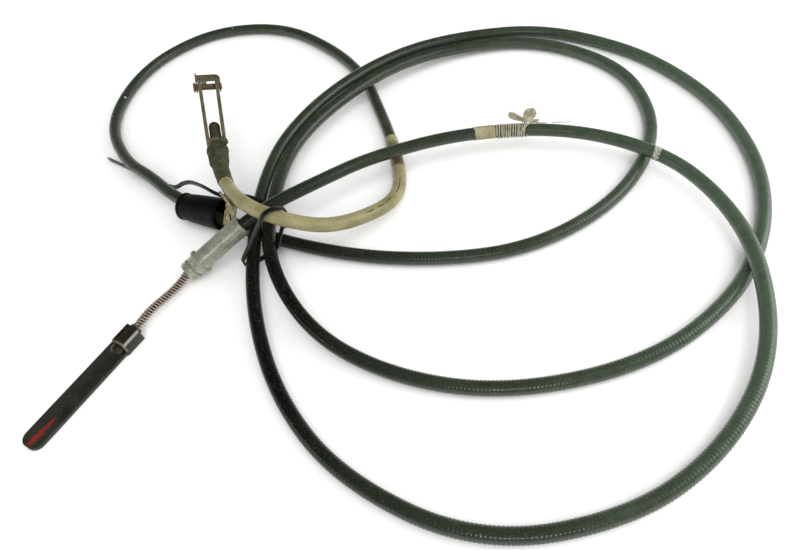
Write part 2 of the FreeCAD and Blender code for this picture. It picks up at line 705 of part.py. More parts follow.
def strap_side(inset, bend, foot):
    """Corner points of one flared side, from the base middle out to the tip."""
    half_foot = base_half - inset
    half_tip = tip_half - inset
    lean = (half_tip - half_foot) / tip_reach
    shoulder = half_foot + lean * (foot + bend)
    bow = bend * (1 - math.sqrt(0.5))
    return [
        Vector(foot, shoulder - bend, 0),
        Vector(foot + bow, shoulder - bow, 0),
        Vector(foot + bend, shoulder, 0),
        Vector(tip_reach, half_tip, 0),
    ]


outer_side = strap_side(0.0, OUTER_BEND, 0.0)
inner_side = strap_side(strap, INNER_BEND, strap)
flip = Vector(1, -1, 1)


def mirrored(point):
    return Vector(point.x, -point.y, 0)


geometry = []
for points in (outer_side, inner_side):
    twins = [mirrored(point) for point in points]
    geometry.append(Part.LineSegment(twins[0], points[0]))
    geometry.append(Part.Arc(points[0], points[1], points[2]))
    geometry.append(Part.LineSegment(points[2], points[3]))
    geometry.append(Part.Arc(twins[0], twins[1], twins[2]))
    geometry.append(Part.LineSegment(twins[2], twins[3]))
geometry.append(Part.LineSegment(outer_side[3], inner_side[3]))
geometry.append(Part.LineSegment(mirrored(outer_side[3]), mirrored(inner_side[3])))
for piece in geometry:
    outline.addGeometry(piece)
strap_pad = yoke.newObject("PartDesign::Pad", "strap_pad")
strap_pad.Profile = outline
strap_pad.Midplane = True
strap_pad.setExpression("Length", "sizes.strap_width")
yoke_hole = cylinder("yoke_rod_hole", "sizes.yoke_hole / 2", "sizes.strap_thickness + 2", "-1")
pin_hole = doc.addObject("Part::Cylinder", "yoke_pin_hole")
pin_hole.Placement = Placement(Vector(0, 0, 0), Rotation(Vector(0, 0, 1), Vector(0, 1, 0)))
pin_hole.setExpression("Radius", "sizes.pin_dia / 2 + sizes.pin_gap")
pin_hole.setExpression("Height", "sizes.yoke_tip_width + 4")
pin_hole.setExpression("Placement.Base.x", "sizes.yoke_pin_place")
pin_hole.setExpression("Placement.Base.y", "-sizes.yoke_tip_width / 2 - 2")
tip_round = doc.addObject("Part::Cylinder", "tip_round")
tip_round.Placement = Placement(Vector(0, 0, 0), Rotation(Vector(0, 0, 1), Vector(0, 1, 0)))
tip_round.setExpression("Radius", "sizes.strap_width / 2")
tip_round.setExpression("Height", "sizes.yoke_tip_width + 4")
tip_round.setExpression("Placement.Base.x", "sizes.yoke_pin_place")
tip_round.setExpression("Placement.Base.y", "-sizes.yoke_tip_width / 2 - 2")
tip_square = box(
    "tip_square", "sizes.strap_width", "sizes.yoke_tip_width + 4", "sizes.strap_width + 2",
    "sizes.yoke_pin_place", "-sizes.yoke_tip_width / 2 - 2", "-sizes.strap_width / 2 - 1",
)
tip_trim = cut("tip_trim", tip_square, tip_round)
yoke_holes = fuse("yoke_holes", [yoke_hole, pin_hole, tip_trim])
finish(cut("yoke_drilled", yoke, yoke_holes), "yoke_strap", yoke_frame)


def across(name, radius, length, start):
    """A cylinder along Y through the pin axis; the sizes are expressions."""
    made = doc.addObject("Part::Cylinder", name)
    made.Placement = Placement(Vector(0, 0, 0), Rotation(Vector(0, 0, 1), Vector(0, 1, 0)))
    made.setExpression("Radius", radius)
    made.setExpression("Height", length)
    made.setExpression("Placement.Base.x", "sizes.yoke_pin_place")
    made.setExpression("Placement.Base.y", start)
    return made


pin_low = "(-sizes.yoke_tip_width / 2 - sizes.pin_stub)"
pin_high = "(sizes.yoke_tip_width / 2 + 2 * sizes.side_gap + sizes.clip_strip)"
pin_solid = fuse("pin_solid", [
    across("pin_shank", "sizes.pin_dia / 2", "%s - %s" % (pin_high, pin_low), pin_low),
    across("pin_head_disc", "sizes.pin_head_od / 2", "sizes.pin_head", pin_high),
])
finish(pin_solid, "clevis_pin", yoke_frame)

# Spring clip: one bent strip whose two eyes hang on the pin, with a bridge past the
# yoke's tips and a short tab at the corner that isn't rounded
eye_face = "(-sizes.yoke_tip_width / 2 - sizes.side_gap - sizes.clip_strip)"
far_face = "(sizes.yoke_tip_width / 2 + sizes.side_gap)"
eye_near = across("clip_eye_near", "sizes.clip_eye_od / 2", "sizes.clip_strip", eye_face)
eye_far = across("clip_eye_far", "sizes.clip_eye_od / 2", "sizes.clip_strip", far_face)
clip_side = 0.5 * size("yoke_tip_width") + size("side_gap")
clip_low = -clip_side - size("clip_strip")
clip_high = clip_side + size("clip_strip")
clip_out = size("yoke_pin_place") + size("clip_reach")
clip_in = clip_out - size("clip_strip")
clip_bend = size("clip_bend")
bend_in = clip_bend - size("clip_strip")
clip_middle = Vector(clip_out - clip_bend, clip_low + clip_bend, 0)
slant_out = Vector(clip_bend, -clip_bend, 0) * math.sqrt(0.5)
slant_in = Vector(bend_in, -bend_in, 0) * math.sqrt(0.5)
clip_body = doc.addObject("PartDesign::Body", "clip_body")
plane = [item for item in clip_body.Origin.OriginFeatures if item.Role == "XY_Plane"][0]
outline = clip_body.newObject("Sketcher::SketchObject", "clip_outline")
outline.AttachmentSupport = (plane, [""])
outline.MapMode = "FlatFace"
pin_x = size("yoke_pin_place")
outer_start = Vector(clip_out - clip_bend, clip_low, 0)
outer_end = Vector(clip_out, clip_low + clip_bend, 0)
inner_start = Vector(clip_in, clip_low + clip_bend, 0)
inner_end = Vector(clip_out - clip_bend, -clip_side, 0)
outline.addGeometry(Part.LineSegment(Vector(pin_x, clip_low, 0), outer_start))
outline.addGeometry(Part.Arc(outer_start, clip_middle + slant_out, outer_end))
clip_run = [
    outer_end,
    Vector(clip_out, clip_side, 0),
    Vector(clip_out + size("clip_lug"), clip_side, 0),
    Vector(clip_out + size("clip_lug"), clip_high, 0),
    Vector(pin_x, clip_high, 0),
    Vector(pin_x, clip_side, 0),
    Vector(clip_in, clip_side, 0),
    inner_start,
]
for start, end in zip(clip_run, clip_run[1:]):
    outline.addGeometry(Part.LineSegment(start, end))
outline.addGeometry(Part.Arc(inner_start, clip_middle + slant_in, inner_end))
outline.addGeometry(Part.LineSegment(inner_end, Vector(pin_x, -clip_side, 0)))
outline.addGeometry(Part.LineSegment(Vector(pin_x, -clip_side, 0), Vector(pin_x, clip_low, 0)))
clip_pad = clip_body.newObject("PartDesign::Pad", "clip_pad")
clip_pad.Profile = outline
clip_pad.Midplane = True
clip_pad.setExpression("Length", "sizes.clip_height")
clip_blank = fuse("clip_blank", [eye_near, eye_far, clip_body])
clip_holes = across("clip_holes", "sizes.pin_dia / 2 + 0.3", "sizes.yoke_tip_width * 2", "-sizes.yoke_tip_width")
finish(cut("clip_solid", clip_blank, clip_holes), "pin_clip", yoke_frame)

# Rubber gaiter: loose on the conduit and lying on the floor, its middle line through
# these two points, narrow rim first
GAITER_ENDS = [
    (3.6, 39.6, 11.0),
    (38.5, 25.0, 12.9),
]
gaiter_start, gaiter_stop = [Vector(*point) for point in GAITER_ENDS]
gaiter_frame = heading_frame(gaiter_start, (gaiter_stop - gaiter_start).normalize())
gaiter_end = (Vector(*GAITER_ENDS[1]) - Vector(*GAITER_ENDS[0])).Length
gaiter_wall = size("gaiter_wall")
rim_outer = 0.5 * size("gaiter_rim")
mouth_outer = 0.5 * size("gaiter_mouth")
bead = size("gaiter_bead")
gaiter_skin = [
    (0.0, rim_outer),
    (0.8, rim_outer + bead),
    (2.2, rim_outer + bead),
    (3.2, rim_outer),
    (0.3 * gaiter_end, rim_outer + 0.35 * (mouth_outer - rim_outer)),
    (0.6 * gaiter_end, rim_outer + 0.68 * (mouth_outer - rim_outer)),
    (0.85 * gaiter_end, mouth_outer - 0.3),
    (gaiter_end - 1.0, mouth_outer),
    (gaiter_end, mouth_outer - 0.6),
]
gaiter_lining = [
    (gaiter_end, mouth_outer - gaiter_wall),
    (0.85 * gaiter_end, mouth_outer - 0.3 - gaiter_wall),
    (0.6 * gaiter_end, rim_outer + 0.68 * (mouth_outer - rim_outer) - gaiter_wall),
    (0.3 * gaiter_end, rim_outer + 0.35 * (mouth_outer - rim_outer) - gaiter_wall),
    (0.0, rim_outer + 0.2 - gaiter_wall),
]
revolved("rubber_gaiter", gaiter_skin + gaiter_lining, gaiter_frame)

# Sheet bracket: a saddle under the sleeve whose drilled tab hangs down and sideways
bracket_point, bracket_heading = along(edges, total - size("bracket_from_end"))
tab_up = Rotation(bracket_heading, size("bracket_lean")).multVec(Vector(0, 0, 1))
bracket_frame = heading_frame(bracket_point, bracket_heading, tab_up)
saddle_inner = 0.5 * size("conduit_od") + size("layer_gap") + size("sleeve_wall") + size("bracket_gap")
saddle_outer = saddle_inner + size("bracket_sheet")
half_band = 0.5 * size("bracket_width")
band_start = Vector(-half_band, 0, 0)
band_way = Vector(1, 0, 0)
saddle = Part.makeCylinder(saddle_outer, size("bracket_width"), band_start, band_way)
tab_corners = [
    Vector(-half_band, -0.5 * size("bracket_sheet"), -saddle_inner),
    Vector(half_band, -0.5 * size("bracket_sheet"), -saddle_inner),
    Vector(half_band, -0.5 * size("bracket_sheet"), 2.0 - size("bracket_drop")),
    Vector(half_band - 3.0, -0.5 * size("bracket_sheet"), -size("bracket_drop")),
    Vector(-half_band, -0.5 * size("bracket_sheet"), -size("bracket_short")),
]
tab_outline = Part.makePolygon(tab_corners + tab_corners[:1])
tab = Part.Face(tab_outline).extrude(Vector(0, size("bracket_sheet"), 0))
bracket_solid = saddle.fuse(tab)
band_hole = Part.makeCylinder(saddle_inner, size("bracket_width") + 2, band_start - band_way, band_way)
tab_hole = Part.makeCylinder(
    0.5 * size("bracket_hole"), 4 * size("bracket_sheet"),
    Vector(size("bracket_hole_shift"), -2 * size("bracket_sheet"), -size("bracket_hole_drop")),
    Vector(0, 1, 0),
)
above = Part.makeBox(size("bracket_width") + 2, 4 * saddle_outer, 2 * saddle_outer)
above.translate(Vector(-half_band - 1, -2 * saddle_outer, -0.3 * saddle_outer))
bracket = doc.addObject("Part::Feature", "bracket_bent")
bracket.Shape = bracket_solid.cut(band_hole).cut(tab_hole).cut(above).removeSplitter().Solids[0]
finish(bracket, "sheet_bracket", bracket_frame)

# Label, marker ring and string on the first loop
label_edges = stretch(edges, size("label_from_start"), size("label_from_start") + size("label_length"))
hose("paper_label", label_edges, sleeve_inner + " + sizes.label_wall", sleeve_inner)
marker_edges = stretch(edges, size("marker_from_start"), size("marker_from_start") + size("marker_length"))
hose("marker_ring", marker_edges, sleeve_inner + " + sizes.marker_wall", sleeve_inner)
string_length = size("string_turns") * size("string_pitch")
string_radius = 0.5 * size("conduit_od") + 0.5 * size("string_dia") + 1.5 * size("layer_gap")
winding(
    "string_wrap", edges, size("string_from_start"), size("string_from_start") + string_length,
    size("string_turns"), string_radius, size("string_dia"),
)

# Knot on top of the string: one strand with two bows and two loose ends
knot_point, knot_heading = along(edges, size("string_from_start") + string_length - 2.0)
knot_frame = heading_frame(knot_point, knot_heading)
height = string_radius + size("string_dia") + 0.5
KNOT = [
    (26, -2, -1.4),
    (14, 0, -0.4),
    (3, -0.5, 0),
    (-4, -2, 0.3),
    (-9, 2, 0.5),
    (-8, 7, 0.8),
    (-3, 5, 1.4),
    (2, -1, 2.2),
    (6, -2.5, 2.4),
    (11, 1, 2.4),
    (11, 7, 2.4),
    (5, 7, 3),
    (0, 1, 4),
    (-1, -4, 3.2),
    (2, -9, 0.8),
    (5, -12, -2),
]
knot_points = [(x, y, height + z) for x, y, z in KNOT]
knot_edges, knot_radii = rounded(knot_points)
knot_start = Vector(*knot_points[0])
knot_ring = Part.makeCircle(0.5 * size("string_dia"), knot_start, Vector(*knot_points[1]) - knot_start)
knot = doc.addObject("Part::Feature", "string_knot_solid")
knot.Shape = Part.Wire(knot_edges).makePipeShell([Part.Wire(knot_ring)], True, False)
finish(knot, "string_knot", knot_frame)

# Cable tie: a belt in an upright plane round the sleeve and the two strands under it
tie_point, unused = along(edges, total - size("tie_from_end"))
tie_turn = math.radians(size("tie_heading"))
tie_across = Vector(math.cos(tie_turn), math.sin(tie_turn), 0)
tie_normal = Vector(math.sin(tie_turn), -math.cos(tie_turn), 0)
sleeve_radius = 0.5 * size("conduit_od") + size("layer_gap") + size("sleeve_wall")


def plane_crossing(guess):
    """Length along the conduit where it crosses the tie's plane, near a guess."""
    low = guess - 30.0
    high = guess + 30.0
    sign_low = (along(edges, low)[0] - tie_point).dot(tie_normal)
    for unused_step in range(40):
        middle = 0.5 * (low + high)
        if (along(edges, middle)[0] - tie_point).dot(tie_normal) * sign_low > 0:
            low = middle
        else:
            high = middle
    return 0.5 * (low + high)


def belt_samples(place, radius):
    """The outline that a tied strand sweeps within the strap's width, as (across, height) pairs."""
    middle, heading = along(edges, place)
    lean = abs(heading.dot(tie_normal))
    in_plane = heading - tie_normal * heading.dot(tie_normal)
    length = in_plane.Length
    long_way = (in_plane.dot(tie_across) / length, in_plane.z / length)
    centre = ((middle - tie_point).dot(tie_across), middle.z)
    half_long = (radius + 0.5 * size("tie_width") * length) / lean
    samples = []
    for step in range(72):
        angle = 2 * math.pi * step / 72
        u = half_long * math.cos(angle)
        v = radius * math.sin(angle)
        samples.append((
            centre[0] + u * long_way[0] - v * long_way[1],
            centre[1] + u * long_way[1] + v * long_way[0],
        ))
    return samples


def hull(points):
    """The convex outline of tagged points, anticlockwise."""
    ordered = sorted(points)

    def half(sequence):
        chain = []
        for point in sequence:
            while len(chain) > 1 and (
                (chain[-1][0] - chain[-2][0]) * (point[1] - chain[-2][1])
                - (chain[-1][1] - chain[-2][1]) * (point[0] - chain[-2][0])
            ) <= 0:
                chain.pop()
            chain.append(point)
        return chain[:-1]

    return half(ordered) + half(ordered[::-1])


tie_samples = []
strap_gap = size("tie_gap")
tied_places = [
    (total - size("tie_from_end"), sleeve_radius),
    (plane_crossing(993.0), 0.5 * size("conduit_od")),
    (plane_crossing(2145.0), 0.5 * size("conduit_od")),
]
for tag, (place, radius) in enumerate(tied_places):
    tie_samples += [(u, v, tag) for u, v in belt_samples(place, radius + strap_gap)]
belt = hull(tie_samples)
while belt[0][2] == belt[-1][2]:
    belt = belt[1:] + belt[:1]


def in_tie_plane(point):
    lifted = tie_point + tie_across * point[0] - tie_normal * (0.5 * size("tie_width"))
    return Vector(lifted.x, lifted.y, point[1])


belt_edges = []
groups = []
for point in belt:
    if groups and groups[-1][-1][2] == point[2]:
        groups[-1].append(point)
    else:
        groups.append([point])
for group, following in zip(groups, groups[1:] + groups[:1]):
    placed = [in_tie_plane(point) for point in group]
    arcs = max(1, len(placed) // 9)
    stops = [round(share * (len(placed) - 1) / arcs) for share in range(arcs + 1)]
    for first, last in zip(stops, stops[1:]):
        if last - first > 1:
            belt_edges.append(Part.Arc(placed[first], placed[(first + last) // 2], placed[last]).toShape())
        elif last > first:
            belt_edges.append(Part.LineSegment(placed[first], placed[last]).toShape())
    belt_edges.append(Part.LineSegment(placed[-1], in_tie_plane(following[0])).toShape())
belt_inner = Part.Face(Part.Wire(belt_edges))
belt_outer = belt_inner.makeOffset2D(size("tie_thickness"))
strap_solid = belt_outer.extrude(tie_normal * size("tie_width"))
strap_inside = belt_inner.extrude(tie_normal * (3 * size("tie_width")))
strap_inside.translate(tie_normal * (-size("tie_width")))
strap_ring = strap_solid.cut(strap_inside)

# The head sits under the sleeve on the far side, and the long tail leaves it there
up_group = [following[0][2] for following in groups[1:] + groups[:1]].index(0)
head_from = in_tie_plane(groups[up_group][-1])
head_to = in_tie_plane(groups[(up_group + 1) % len(groups)][0])
head_run = (head_to - head_from).normalize()
head_out = head_run.cross(tie_normal).normalize()
if head_out.dot(tie_across) < 0:
    head_out = head_out * -1
head_middle = head_from + (head_to - head_from) * 0.72 + tie_normal * (0.5 * size("tie_width"))
head_half = 0.5 * size("tie_head")
head_box = Part.makeBox(size("tie_head"), size("tie_head"), size("tie_head") - 1.2)
head_box.translate(Vector(-head_half, -head_half, 0))
head_box.Placement = Placement(head_middle, Rotation(head_run, Vector(0, 0, 0), head_out, "ZXY")).multiply(head_box.Placement)

TAIL = [
    (0, 0, 0),
    (88, 8, 24.2),
    (76, 21, 24.5),
    (60, 30, 26),
    (45.5, 27.5, 28),
    (35, 34, 27),
    (22.9, 44.8, 25),
    (8.6, 57.4, 19),
    (-2.2, 64.7, 12),
    (-11.4, 67.2, 5),
    (-24.5, 75.8, 2.6),
    (-39, 85.1, 2.2),
    (-61.5, 100.1, 2.1),
    (-83.5, 114.2, 2.1),
]
tail_start = head_middle + head_out * (0.5 * (size("tie_head") - 1.2)) - head_run * (head_half - 1.5)
tail_points = [(tail_start.x, tail_start.y, tail_start.z)] + TAIL[1:]
tail_edges, tail_radii = rounded(tail_points)
tail_wire = Part.Wire(tail_edges)
tail_heading = (Vector(*tail_points[1]) - tail_start).normalize()
side_way = tail_heading.cross(Vector(0, 0, 1)).normalize() * (0.5 * size("tie_thickness"))
up_way = side_way.cross(tail_heading).normalize() * (0.5 * size("tie_width"))
corners = [
    tail_start + side_way + up_way,
    tail_start - side_way + up_way,
    tail_start - side_way - up_way,
    tail_start + side_way - up_way,
]
tail_section = Part.Wire([Part.LineSegment(a, b).toShape() for a, b in zip(corners, corners[1:] + corners[:1])])
shell = Part.BRepOffsetAPI.MakePipeShell(tail_wire)
shell.setBiNormalMode(Vector(0, 0, 1))
shell.add(tail_section)
shell.build()
shell.makeSolid()
tail_solid = shell.shape()
tie = doc.addObject("Part::Feature", "cable_tie_solid")
tie.Shape = strap_ring.multiFuse([head_box, tail_solid]).Solids[0]
finish(tie, "cable_tie")

# Every piece is checked, measured and written out
doc.recompute()
wrong = []
for thing in doc.Objects:
    if "Invalid" in thing.State or "Error" in thing.State:
        wrong.append("%s: %s" % (thing.Name, thing.State))
for node in NODES:
    if node.Shape.isNull() or not node.Shape.isValid():
        wrong.append("%s: no valid shape" % node.Label)
    elif len(node.Shape.Solids) != 1:
        wrong.append("%s: %d solids" % (node.Label, len(node.Shape.Solids)))
if wrong:
    raise RuntimeError("; ".join(wrong))


def ring_area(outer, inner):
    return math.pi * (outer ** 2 - inner ** 2)


jacket_inner = 0.5 * size("conduit_od") - size("jacket_wall")
jacket_volume = [node for node in NODES if node.Label == "conduit_jacket"][0].Shape.Volume
print("jacket volume over section times length: %.4f" % (
    jacket_volume / (ring_area(0.5 * size("conduit_od"), jacket_inner) * total)
))
for node in NODES:
    bounds = node.Shape.BoundBox
    print("%-16s x %7.1f %7.1f  y %7.1f %7.1f  z %6.2f %6.2f  volume %9.1f" % (
        node.Label, bounds.XMin, bounds.XMax, bounds.YMin, bounds.YMax, bounds.ZMin, bounds.ZMax,
        node.Shape.Volume,
    ))
pin_middle = yoke_frame.multVec(Vector(size("yoke_pin_place"), 0, 0))
hole_middle = bracket_frame.multVec(Vector(size("bracket_hole_shift"), 0, -size("bracket_hole_drop")))
places = {
    "ferrule mouth": mouth, "ferrule heading": ferrule_heading,
    "ring stop": ferrule_frame.multVec(Vector(size("ring_place"), 0, 8.6)),
    "nipple": nipple, "lever heading": lever_heading,
    "yoke base": yoke_base, "yoke heading": yoke_heading, "yoke side": yoke_frame.multVec(Vector(0, 1, 0)) - yoke_base,
    "yoke up": yoke_frame.multVec(Vector(0, 0, 1)) - yoke_base, "pin middle": pin_middle,
    "bracket hole": hole_middle, "bracket hole axis": bracket_frame.multVec(Vector(0, 1, 0)) - bracket_point,
    "conduit start": Vector(*ROUTE[0]), "conduit end": Vector(*ROUTE[-1]),
    "spring ends": Vector(spring_start, spring_end, 0),
}
for name, place in places.items():
    print("%-18s (%.4f, %.4f, %.4f)" % (name, place.x, place.y, place.z))
os.makedirs("parts", exist_ok=True)
for node in NODES:
    node.Shape.exportStep("parts/%s.step" % node.Label)
print("%d pieces written" % len(NODES))
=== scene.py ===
import math
import random

import bpy
import numpy as np
from mathutils import Matrix, Vector


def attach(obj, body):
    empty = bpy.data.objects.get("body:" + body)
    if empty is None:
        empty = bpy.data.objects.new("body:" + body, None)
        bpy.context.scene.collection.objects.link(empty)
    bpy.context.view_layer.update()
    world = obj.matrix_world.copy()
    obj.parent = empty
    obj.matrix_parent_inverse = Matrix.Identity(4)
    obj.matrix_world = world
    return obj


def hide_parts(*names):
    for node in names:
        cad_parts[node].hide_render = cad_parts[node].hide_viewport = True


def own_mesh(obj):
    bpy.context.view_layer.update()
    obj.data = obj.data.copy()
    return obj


# Old vehicle hand brake cable in loose loops on a pale table. Metres, +Z up.

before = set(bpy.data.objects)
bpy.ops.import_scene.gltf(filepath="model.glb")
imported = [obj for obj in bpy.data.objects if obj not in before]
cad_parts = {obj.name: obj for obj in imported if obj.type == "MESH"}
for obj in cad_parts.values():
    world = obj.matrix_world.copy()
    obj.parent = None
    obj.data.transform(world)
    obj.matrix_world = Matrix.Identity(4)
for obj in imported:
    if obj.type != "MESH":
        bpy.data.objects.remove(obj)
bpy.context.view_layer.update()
MM = 0.001

# Camera where the photograph was taken, from the width of the conduit over the picture
camera_data = bpy.data.cameras.new("photo_camera")
camera_data.lens = 29.25
camera_data.sensor_width = 36
camera_data.clip_start = 0.01
camera_data.clip_end = 20
camera = bpy.data.objects.new("photo_camera", camera_data)
bpy.context.scene.collection.objects.link(camera)
camera_right = Vector((0.99351, 0, -0.11375))
camera_up = Vector((0.06984, 0.78931, 0.60999))
camera_back = Vector((0.08979, -0.61399, 0.78419))
camera_place = Vector((0.212, -0.313, 0.35548))
turn = Matrix((camera_right, camera_up, camera_back)).transposed()
camera.matrix_world = Matrix.Translation(camera_place) @ turn.to_4x4()
bpy.context.scene.camera = camera

# The conduit's route: control points of its middle line, in millimetres
ROUTE = [
    (48.7, -8.1, 21.5),
    (73.1, 5.5, 33.1),
    (113, 34, 29.5),
    (153, 63, 24),
    (224, 86, 20),
    (304, 83, 18),
    (366, 49, 17),
    (393, 0, 17.5),
    (401, -57, 17),
    (387, -122, 11),
    (349, -172, 5.5),
    (293, -207, 5),
    (212, -218, 5),
    (138, -180, 5),
    (96, -128, 5),
    (73, -66, 10.5),
    (66.5, -2.4, 16.5),
    (66.3, 54.4, 15.8),
    (79, 106.1, 17.5),
    (116.5, 159.2, 20),
    (172.4, 205.6, 18.5),
    (234.3, 232.9, 11),
    (306, 240, 5),
    (371, 199, 5),
    (406, 155, 5),
    (429, 103, 5),
    (435, 39, 5),
    (418, -24, 5),
    (382, -76, 5),
    (321, -118, 5),
    (237, -133, 5),
    (168, -118, 5),
    (112, -83, 8.5),
    (78, -23.3, 16),
    (76.5, 36.5, 16.3),
    (84, 91.6, 14.8),
    (111.6, 137.6, 15.6),
    (163.9, 187.8, 16.4),
    (225.3, 219.5, 8.5),
    (298, 224, 5),
    (362, 174, 5),
    (375, 110, 5),
    (360, 57, 5),
    (321, 9, 5),
    (263, -23, 5),
    (202, -28, 5),
    (134, -18, 5),
    (57, 12, 5.5),
    (-4, 47, 12.5),
    (-31, 75.5, 11.5),
    (-62, 101, 9.3),
    (-93, 157, 5),
    (-88, 219, 5),
    (-62, 266, 5),
    (-12, 297, 5),
    (56.6, 289.2, 5),
    (111.2, 238.4, 5),
    (141.1, 189.5, 5),
    (151.7, 151.6, 5),
    (163.1, 111.1, 5),
    (171.1, 70.5, 5.5),
    (172.4, 41.5, 7),
    (161.7, 15.8, 15),
    (128, -10.8, 28),
    (96.3, -12, 40),
    (65.2, 4.2, 42.2),
    (43, 37.5, 36.7),
    (36.5, 64, 40),
]
ROUTE_STEPS = 48


def smooth_line(points, steps=16):
    """Points in metres along a smooth spline whose control points are in millimetres."""
    curve = bpy.data.curves.new("line", "CURVE")
    curve.dimensions = "3D"
    curve.resolution_u = steps
    spline = curve.splines.new("NURBS")
    spline.points.add(len(points) - 1)
    for control, place in zip(spline.points, points):
        control.co = (place[0] * MM, place[1] * MM, place[2] * MM, 1)
    spline.order_u = 3
    spline.use_endpoint_u = True
    holder = bpy.data.objects.new("line", curve)
    bpy.context.scene.collection.objects.link(holder)
    seen = holder.evaluated_get(bpy.context.evaluated_depsgraph_get())
    mesh = bpy.data.meshes.new_from_object(seen)
    line = np.array([vertex.co[:] for vertex in mesh.vertices])
    bpy.data.meshes.remove(mesh)
    bpy.data.objects.remove(holder)
    bpy.data.curves.remove(curve)
    return line


def spaced(line, gap, start=0.0, end=None):
    """A line's points again, evenly spaced from one length along it to another."""
    runs = np.linalg.norm(np.diff(line, axis=0), axis=1)
    along = np.concatenate([[0], np.cumsum(runs)])
    if end is None:
        end = along[-1]
    count = max(2, int(round((end - start) / gap)) + 1)
    places = np.linspace(start, end, count)
    return np.stack([np.interp(places, along, line[:, axis]) for axis in range(3)], axis=1), places


def line_length(line):
    """A line's length in metres."""
    return float(np.linalg.norm(np.diff(line, axis=0), axis=1).sum())


def frames_along(line):
    """Headings and two side directions along a line, turning as little as they can."""
    headings = np.gradient(line, axis=0)
    headings /= np.linalg.norm(headings, axis=1)[:, None]
    side = np.cross(headings[0], (0, 0, 1))
    side /= np.linalg.norm(side)
    sides = [side]
    for heading in headings[1:]:
        side = side - heading * np.dot(side, heading)
        side = side / np.linalg.norm(side)
        sides.append(side)
    sides = np.array(sides)
    return headings, sides, np.cross(sides, headings)


def deselect():
    if bpy.context.object and bpy.context.object.mode != "OBJECT":
        bpy.ops.object.mode_set(mode="OBJECT")
    bpy.ops.object.select_all(action="DESELECT")


def from_grid(name, rings, places, closed_ends=True):
    """A skin over rings of points, with a UV map: once round, and metres along."""
    ring_count, sides = rings.shape[:2]
    vertices = rings.reshape(-1, 3)
    ring = np.arange(ring_count - 1)[:, None] * sides
    here = np.arange(sides)[None, :]
    after = (here + 1) % sides
    quads = np.stack([ring + here, ring + after, ring + sides + after, ring + sides + here], axis=-1)
    faces = quads.reshape(-1, 4).tolist()
    if closed_ends:
        faces.append(list(range(sides))[::-1])
        last = (ring_count - 1) * sides
        faces.append([last + index for index in range(sides)])
    mesh = bpy.data.meshes.new(name)
    mesh.from_pydata(vertices.tolist(), [], faces)
    layer = mesh.uv_layers.new(name="lay")
    quad_count = (ring_count - 1) * sides
    uv = np.zeros((len(mesh.loops), 2))
    u_low = np.tile(np.arange(sides) / sides, ring_count - 1)
    u_high = u_low + 1 / sides
    v_low = np.repeat(places[:-1], sides)
    v_high = np.repeat(places[1:], sides)
    corner_u = np.stack([u_low, u_high, u_high, u_low], axis=1)
    corner_v = np.stack([v_low, v_low, v_high, v_high], axis=1)
    uv[: quad_count * 4, 0] = corner_u.reshape(-1)
    uv[: quad_count * 4, 1] = corner_v.reshape(-1)
    layer.data.foreach_set("uv", uv.reshape(-1))
    mesh.polygons.foreach_set("use_smooth", [True] * len(mesh.polygons))
    if closed_ends:
        mesh.polygons[-1].use_smooth = False
        mesh.polygons[-2].use_smooth = False
    mesh.validate()
    made = bpy.data.objects.new(name, mesh)
    bpy.context.scene.collection.objects.link(made)
    return made


def tube(name, line, places, radius, sides=16, wall=None, ragged=None):
    """A round tube along a line. radius is a number or a function of ring index and angles."""
    headings, side_ways, up_ways = frames_along(line)
    angles = np.arange(sides) * 2 * math.pi / sides
    rings = []
    for index in range(len(line)):
        reach = radius(index, angles) if callable(radius) else np.full(sides, radius)
        around = np.cos(angles)[:, None] * side_ways[index] + np.sin(angles)[:, None] * up_ways[index]
        ring = line[index] + around * reach[:, None]
        if ragged is not None:
            ring = ring + headings[index] * ragged(index, angles)[:, None]
        rings.append(ring)
    if wall is None:
        return from_grid(name, np.array(rings), places)
    for index in range(len(line) - 1, -1, -1):
        reach = (radius(index, angles) if callable(radius) else np.full(sides, radius)) - wall
        around = np.cos(angles)[:, None] * side_ways[index] + np.sin(angles)[:, None] * up_ways[index]
        ring = line[index] + around * reach[:, None]
        if ragged is not None:
            ring = ring + headings[index] * ragged(index, angles)[:, None]
        rings.append(ring)
    rings.append(rings[0])
    rings = np.array(rings)
    all_places = np.concatenate([places, places[::-1], places[:1]])
    made = from_grid(name, rings, all_places, closed_ends=False)
    deselect()
    made.select_set(True)
    bpy.context.view_layer.objects.active = made
    bpy.ops.object.mode_set(mode="EDIT")
    bpy.ops.mesh.select_all(action="SELECT")
    bpy.ops.mesh.remove_doubles(threshold=1e-7)
    bpy.ops.object.mode_set(mode="OBJECT")
    bpy.ops.object.shade_smooth_by_angle(angle=math.radians(50))
    return made


# The conduit and its layers
route_line = smooth_line(ROUTE, ROUTE_STEPS)
total = line_length(route_line)
RIB_PITCH = 2.4 * MM
RIB_DEPTH = 0.16 * MM
FULL_RADIUS = 4.84 * MM
WORN_RADIUS = 4.58 * MM
WORN_FROM = total - 900 * MM
WORN_RUN = 90 * MM
jacket_line, jacket_places = spaced(route_line, RIB_PITCH / 3)


def jacket_radius(place):
    """The jacket's mean radius: it has shrunk a little on the small loop."""
    share = min(max((place - WORN_FROM) / WORN_RUN, 0), 1)
    return FULL_RADIUS + (WORN_RADIUS - FULL_RADIUS) * share


def rib_radius(index, angles):
    wave = math.cos(2 * math.pi * index / 3)
    return np.full(len(angles), jacket_radius(jacket_places[index]) + RIB_DEPTH * wave)


jacket = tube("conduit_ribbed_jacket", jacket_line, jacket_places, rib_radius, sides=18)
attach(jacket, "conduit")
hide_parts("conduit_jacket")

